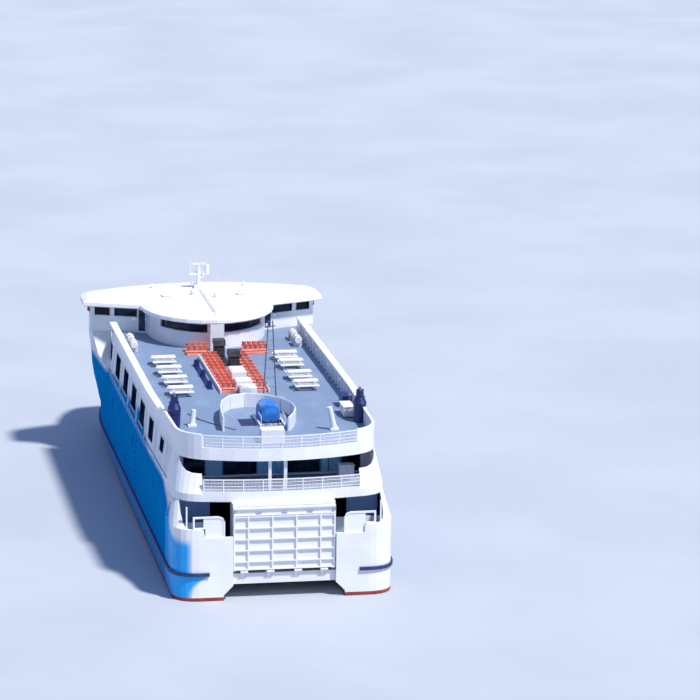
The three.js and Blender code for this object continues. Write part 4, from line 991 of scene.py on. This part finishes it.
def quarter_gear():
    deck = Piece("mooring_platforms", "coating", bevel=0.01, base=PLATFORM)
    gear = Piece("mooring_gear", "dark", bevel=0.012, base=PLATFORM)
    for side in SIDES:
        deck.box(side * 4.4, side * 8.3, 0.75, 3.0, -0.12, 0)
        deck.box(side * 4.4, side * 8.3, 2.94, 3.06, -0.05, 1.0, "white")
        deck.box(side * 5.5, side * 8.0, 3.4, 3.5, 0, 3.3, "bulkhead")
        gear.box(side * 5.6 - 0.5, side * 5.6 + 0.5, 1.2, 1.6, 0, 0.06)
        for x in (side * 5.6 - 0.3, side * 5.6 + 0.3):
            gear.lathe(x, 1.4, BITT, 16)
        x = side * 7.0
        gear.rod((x - 0.45, REEL_Y, REEL_Z), (x + 0.45, REEL_Y, REEL_Z), 0.1, finish="steel")
        for end in (x - 0.45, x + 0.45):
            gear.rod((end - 0.02, REEL_Y, REEL_Z), (end + 0.02, REEL_Y, REEL_Z), 0.36, sides=20)
            gear.box(end - 0.06, end + 0.06, 1.72, 2.08, 0, REEL_Z)
        coils = []
        for k in range(121):
            turn = math.tau * k / 12
            y, z = REEL_Y + 0.19 * math.cos(turn), REEL_Z + 0.19 * math.sin(turn)
            coils.append((x - 0.4 + 0.8 * k / 120, y, z))
        gear.tube(coils, 0.035, 6, "ivory")
        gear.box(side * 7.75 - 0.06, side * 7.75 + 0.06, 0.5, 0.62, 1.25, 2.95, "white")
    deck.make()
    gear.make()


# Boxes at the sun deck's after end, and life rafts behind the wings
# Columns: share of the canister's length from its middle, share of its radius
RAFT_PROFILE = [
    (-0.5, 0.75), (-0.47, 0.92), (-0.2, 1.0), (-0.02, 1.0), (-0.02, 1.06), (0.02, 1.06), (0.02, 1.0),
    (0.2, 1.0), (0.47, 0.92), (0.5, 0.75),
]
RAFT_LENGTH, RAFT_RADIUS, RAFT_Z = 1.5, 0.36, 0.62


def raft(piece, x, y):
    """A canister of two ribbed halves, with its straps, on a cradle."""
    points = [(x, y + share * RAFT_LENGTH, RAFT_Z) for share, _ in RAFT_PROFILE]
    piece.tube(points, [RAFT_RADIUS * size for _, size in RAFT_PROFILE], 20, "ivory")
    for along in (y - 0.28 * RAFT_LENGTH, y + 0.28 * RAFT_LENGTH):
        piece.torus((x, along, RAFT_Z), "y", RAFT_RADIUS * 1.01, 0.015, "black")
        piece.block(x, along, RAFT_RADIUS, 0.04, 0, RAFT_Z - RAFT_RADIUS * 0.7, "rail")


def deck_boxes():
    piece = Piece("deck_boxes", bevel=0.02, base=Z_SUN)
    piece.box(6.75, 7.6, 11.9, 13.9, 0.08, 0.85)
    piece.box(6.7, 7.65, 11.85, 13.95, 0.85, 0.93)
    piece.box(6.85, 7.5, 12.0, 13.8, OFF_DECK, 0.1, "dark")
    piece.box(7.2, 7.75, 15.2, 16.7, OFF_DECK, 0.95, "navy")
    piece.box(7.15, 7.8, 15.15, 16.75, 0.95, 1.03, "navy")
    for y in (12.4, 13.4):
        piece.box(6.66, 6.7, y - 0.1, y + 0.1, 0.7, 0.88, "steel")
    piece.make()
    rafts = Piece("life_rafts", "ivory", bevel=0.01, base=Z_SUN)
    for x in (-7.3, 7.3):
        for y in (38.4, 40.6):
            raft(rafts, x, y)
    rafts.make()


# Bow: anchors under their hawse pipes, and the handrail
ANCHOR_Y, ANCHOR_Z = 56.2, 5.6


def bow_gear():
    anchors = Piece("bow_anchors", "rust", bevel=0.012, base=ANCHOR_Z)
    y = ANCHOR_Y
    for side in SIDES:
        x = side * (topside_x(y, ANCHOR_Z) + 0.12)
        anchors.rod((x, y, 0.9), (x, y, -0.4), 0.07)
        anchors.block(x, y, 0.09, 0.55, -0.55, -0.36)
        for end in SIDES:
            fluke = [(0.5, -0.5), (0.62, -0.1), (0.5, 0.25), (0.42, -0.3)]
            anchors.prism([(y + end * a, z) for a, z in fluke], "x", x - 0.07, x + 0.07)
        anchors.torus((x, y, 0.98), "x", 0.1, 0.025)
        anchors.lathe(x, y, [(0.2, 1.0), (0.2, 1.14)], 16, "dark")
    anchors.make()
    rail = Piece("bow_rail", "rail", bevel=0, base=Z_PASS)
    for side in SIDES:
        points = []
        for k in range(15):
            y = 50.4 + 9.6 * math.sin(math.pi / 2 * k / 14)
            x = side * (plan_half("passenger", y) - 0.07)
            points.append((x, y, 1.3))
            rail.rod((x, y, 1.02), (x, y, 1.3), 0.02, sides=6)
        rail.tube(points, 0.03, 8)
    rail.make()


# Foredeck: hatches, chain pipes with their cable covers, fairleads and cowls
CABLE_COVER = [(1.5, 57.5), (3.2, 56.85), (6.15, 56.3), (6.15, 56.1), (3.2, 56.65), (1.5, 57.3)]
CHAIN_PIPE = [(0.22, OFF_DECK), (0.22, 0.1), (0.15, 0.12), (0.15, 0.03)]
FAIRLEAD = [(0.13, OFF_DECK), (0.13, 0.08), (0.08, 0.14), (0.08, 0.36), (0.12, 0.42), (0.12, 0.46)]
COWL = [(0.1, OFF_DECK), (0.1, 0.7), (0.2, 0.78), (0.2, 0.86), (0.06, 0.95)]
HATCH_X, HATCH_Y = 2.5, 58.6


def foredeck():
    piece = Piece("foredeck_fittings", bevel=0.012, base=Z_PASS)
    for side in SIDES:
        x, y = side * HATCH_X, HATCH_Y
        piece.block(x, y, 0.45, 0.45, OFF_DECK, 0.35)
        piece.block(x, y, 0.5, 0.5, 0.33, 0.4)
        piece.torus((x, y, 0.46), "z", 0.12, 0.015, "steel", 12)
        for end in SIDES:
            piece.block(x + end * 0.46, y, 0.03, 0.06, 0.28, 0.45, "steel")
        piece.lathe(side * 6.35, 56.2, CHAIN_PIPE, 16, "dark")
        piece.prism([(side * a, b) for a, b in CABLE_COVER], "z", OFF_DECK, 0.16, "grey")
        for y in (59.2, 59.75):
            piece.lathe(side * (plan_half("passenger", y) - 0.45), y, FAIRLEAD, 14, "steel")
        piece.lathe(side * 5.2, 58.9, COWL, 14)
    piece.make()


# Sides: pipes down the cabin's walls, and scuppers, vents, a door and step rungs on the topsides
# Columns: y from and to, z from and to, how far in and out of the side
TOPSIDE_FITTINGS = [(31.0, 31.95, 2.45, 4.4, -0.01, 0.025), (31.05, 31.9, 2.5, 4.35, 0.02, 0.035)]
TOPSIDE_FITTINGS += [(y - 0.16, y + 0.16, 7.25, 7.37, -0.01, 0.05) for y in steps(7.5, 4.6, 9)]
TOPSIDE_FITTINGS += [(30.98, 31.1, z, z + 0.08, 0.0, 0.07) for z in (2.8, 3.4, 4.0)]
TOPSIDE_FITTINGS += [(24.0, 24.45, z, z + 0.04, 0.0, 0.09) for z in steps(2.6, 0.55, 9)]
for vent in (12.5, 26.5, 40.5):
    TOPSIDE_FITTINGS.append((vent - 0.5, vent + 0.5, 5.95, 6.75, -0.01, 0.03))
    TOPSIDE_FITTINGS += [(vent - 0.44, vent + 0.44, z, z + 0.05, 0.02, 0.06) for z in steps(6.02, 0.12, 6)]


def side_fittings():
    piece = Piece("side_fittings", bevel=0.008)
    for side in SIDES:
        for y in steps(8.6, 5.68, 7):
            piece.patch(side, cabin_x, y - 0.05, y + 0.05, Z_PASS + 0.03, Z_SUN_UNDER - 0.02, -0.01, 0.09)
            for z in (8.9, 10.0):
                piece.patch(side, cabin_x, y - 0.09, y + 0.09, z, z + 0.06, -0.01, 0.1)
        for row in TOPSIDE_FITTINGS:
            piece.patch(side, topside_x, *row, "blue")
    piece.make()


# Tunnel: frames and girders under the deck between the hulls
def tunnel_frames():
    piece = Piece("tunnel_frames", bevel=0.01)
    for y in steps(2.2, 2.3, 24):
        reach = min(4.05, plan_half("hull", y) - 0.6)
        piece.block(0, y, reach, 0.06, 0.98, 1.21)
        piece.block(0, y, reach, 0.12, 0.95, 0.99)
    for x in (-2.4, 0, 2.4):
        piece.box(x - 0.05, x + 0.05, 1.2, 56.5, 1.02, 1.21)
    piece.make()


# Ramp doors: latches, lifting eyes and stops that move with each door
# Columns: piece, body, half width, y of the plate's outer face, direction outward, how far gear stands out
DOORS = [
    ("stern_door_gear", "stern_door_body", 4.08, 0.33, -1, 0.14),
    ("bow_door_gear", "bow_door_body", 3.3, 60.62, 1, 0.06),
]
DOOR_TOP = 7.45


def door_gear():
    for name, body, half, face, outward, proud in DOORS:
        piece = Piece(name, "grey", body, bevel=0.008)
        tip = face + outward * proud
        for x in (-half + 0.12, half - 0.12):
            for z in (3.0, 4.6, 6.2):
                piece.box(x - 0.05, x + 0.05, face, tip, z, z + 0.2)
            piece.box(x - 0.09, x + 0.09, face, tip + outward * 0.02, DOOR_TOP - 0.42, DOOR_TOP - 0.16)
            piece.torus((x, tip, DOOR_TOP - 0.3), "x", 0.07, 0.018, "steel", 14)
        for x in (-half * 0.5, 0, half * 0.5):
            piece.box(x - 0.22, x + 0.22, face, tip, DOOR_TOP - 0.5, DOOR_TOP - 0.44)
        piece.make()


# Lifebuoys inside the port bulwark, and the masts' lamps
def lifebuoys():
    piece = Piece("lifebuoys", "orange", bevel=0)
    for y in (18.0, 26.5, 36.0):
        x, z = 0.32 - plan_half("sun", y), Z_SUN + 0.72
        piece.torus((x, y, z), "x", 0.3, 0.065, "orange", 28)
        for turn in steps(math.pi / 4, math.pi / 2, 4):
            grip = (x, y + 0.3 * math.cos(turn), z + 0.3 * math.sin(turn))
            piece.torus(grip, "x", 0.02, 0.075, "ivory", 8)
        piece.box(x - 0.13, x - 0.02, y - 0.05, y + 0.05, z - 0.36, z + 0.36, "rail")
    piece.make()


def mast_fittings():
    piece = Piece("mast_fittings", "pole", bevel=0.004)
    piece.box(1.35, 2.2, 18.93, 19.07, 17.7, 17.76)
    for x in (1.45, 2.1):
        piece.lathe(x, 19.0, [(0.06, 17.76), (0.08, 17.8), (0.08, 17.94), (0.05, 18.0)], 12, "clear_lamp")
    for z in (14.9, 15.5, 16.0):
        lantern = [(0.07, z), (0.09, z + 0.03), (0.09, z + 0.16), (0.06, z + 0.2)]
        piece.lathe(0.32, 49.05, lantern, 12, "clear_lamp")
        piece.box(0.1, 0.36, 49.0, 49.1, z - 0.04, z, "white")
    for z in steps(14.95, 0.3, 5):
        piece.box(-0.42, -0.16, 49.14, 49.18, z, z + 0.03, "steel")
    piece.make()


# Deck: a painted shadow line, painted shade beside the hood, planks on the tables and lamps on the bulwarks
DECK_SHADOW_LINE = [(-5.7, 14.9), (-5.0, 12.8), (-3.7, 10.6), (-2.6, 9.1)]
TABLE_PLACES = [(-5.4, (21.4, 25.1, 28.8, 32.5)), (5.35, (22.3, 25.7, 30.0, 33.1))]
# Columns: y from and to round the table's middle, height of the plank
PLANKS = [
    (-0.99, -0.81, 0.46), (-0.79, -0.61, 0.46), (0.61, 0.79, 0.46), (0.81, 0.99, 0.46), (-0.44, -0.23, 0.76),
    (-0.21, -0.01, 0.76), (0.01, 0.21, 0.76), (0.23, 0.44, 0.76),
]


def deck_details():
    piece = Piece("deck_painted_shade_and_lamps", "dark", bevel=0.003, base=Z_SUN)
    # Painted shadow: a thin dark strip along a line of shadow on the deck
    for start, end in zip(DECK_SHADOW_LINE, DECK_SHADOW_LINE[1:]):
        a, b = Vector(start), Vector(end)
        across = Vector((b.y - a.y, a.x - b.x)).normalized() * 0.1
        piece.prism([a - across, b - across, b + across, a + across], "z", 0.001, 0.02)
    # Painted shade: dark navy slats on the deck to port of the hood stand for a patch of shade
    for y in steps(10.3, 0.29, 8):
        piece.box(-1.95, -0.5, y, y + 0.26, 0.001, 0.025, "navy")
    for side in SIDES:
        for y in steps(16.4, 5.6, 5):
            x = side * (plan_half("sun", y) - 0.2)
            piece.box(x, x - side * 0.12, y - 0.12, y + 0.12, 0.8, 0.92, "clear_lamp")
            piece.box(x, x - side * 0.14, y - 0.15, y + 0.15, 0.92, 0.96, "rail")
    piece.make()
    planks = Piece("table_planks", "ivory", bevel=0.006, base=Z_SUN)
    for x, places in TABLE_PLACES:
        for y in places:
            for low, high, top in PLANKS:
                planks.box(x - 1.02, x + 1.02, y + low, y + high, top - 0.005, top + 0.012)
    planks.make()


# Underwater fittings: bilge keels and anodes
def underwater():
    piece = Piece("bilge_keels_and_anodes", "dark", bevel=0.006)
    for side in SIDES:
        for place, lean in ((8.18, 0.3), (5.57, -0.3)):
            keel = [(place, -1.6), (place + lean, -1.86), (place + lean, -1.9), (place, -1.72)]
            piece.prism([(side * x, z) for x, z in keel], "y", 22, 38)
        for y in steps(8, 2.2, 5):
            piece.box(side * 4.85 - 0.05, side * 4.85 + 0.05, y, y + 0.45, -0.75, -0.6, "steel")
    piece.make()


window_frames()
rail_infill("balcony_rail_infill", 6.2, 0.95, 1.1, 8.44, 8.52, 9.42)
rail_infill("sun_rail_infill", 6.1, 1.6, 1.95, 7.9, 11.82, 12.72)
bulwark_brackets()
balcony_fittings()
seats()
casings()
exhaust_louvres()
hood()
screen_fittings()
funnel_fittings()
roof_fittings()
wheelhouse_fittings()
lounge_fittings()
quarter_gear()
deck_boxes()
bow_gear()
foredeck()
side_fittings()
tunnel_frames()
door_gear()
lifebuoys()
mast_fittings()
deck_details()
underwater()


# Camera, floor and light, in the model's own metres
YAW, PITCH, ROLL, LENS = 0.18168, 0.22792, 0.011584, 190.29
VIEW_FROM = (-22.908, -153.487, 42.623)
KEY = {"towards": (0.42, -0.44, 1.0), "strength": 4.8, "degrees": 5, "colour": (1.0, 0.97, 0.93)}
SKY = {"colour": (0.36, 0.54, 1.0, 1), "strength": 0.6}
FLOOR_REACH = 400


def camera():
    lens = bpy.data.cameras.new("camera")
    lens.lens = LENS
    lens.sensor_width = 36
    lens.clip_start = 1
    lens.clip_end = 1000
    seen = linked("camera", lens)
    turn = Euler((math.pi / 2 - PITCH, 0, -YAW)).to_matrix() @ Matrix.Rotation(ROLL, 3, "Z")
    seen.matrix_world = Matrix.Translation(VIEW_FROM) @ turn.to_4x4()
    bpy.context.scene.camera = seen


def floor():
    made = Finish("studio_floor", Roughness=0.75)
    made.colour(made.mix(made.spots(0.3, 0.7, 0.05, 3), (0.42, 0.45, 0.5, 1), (0.46, 0.49, 0.54, 1)))
    mesh = bpy.data.meshes.new("floor")
    corners = [(-1, -1), (1, -1), (1, 1), (-1, 1)]
    mesh.from_pydata([(x * FLOOR_REACH, y * FLOOR_REACH, 0) for x, y in corners], [], [(0, 1, 2, 3)])
    mesh.materials.append(made.material)
    plane = linked("floor", mesh)


def sunlight():
    light = bpy.data.lights.new("key", "SUN")
    light.energy = KEY["strength"]
    light.angle = math.radians(KEY["degrees"])
    light.color = KEY["colour"]
    key = linked("key", light)
    key.rotation_mode = "QUATERNION"
    key.rotation_quaternion = Vector(KEY["towards"]).to_track_quat("Z", "Y")


def sky():
    world = bpy.data.worlds.new("studio")
    world.use_nodes = True
    background = world.node_tree.nodes["Background"]
    background.inputs["Color"].default_value = SKY["colour"]
    background.inputs["Strength"].default_value = SKY["strength"]
    bpy.context.scene.world = world
    bpy.context.scene.view_settings.view_transform = "Standard"


camera()
floor()
sky()
sunlight()
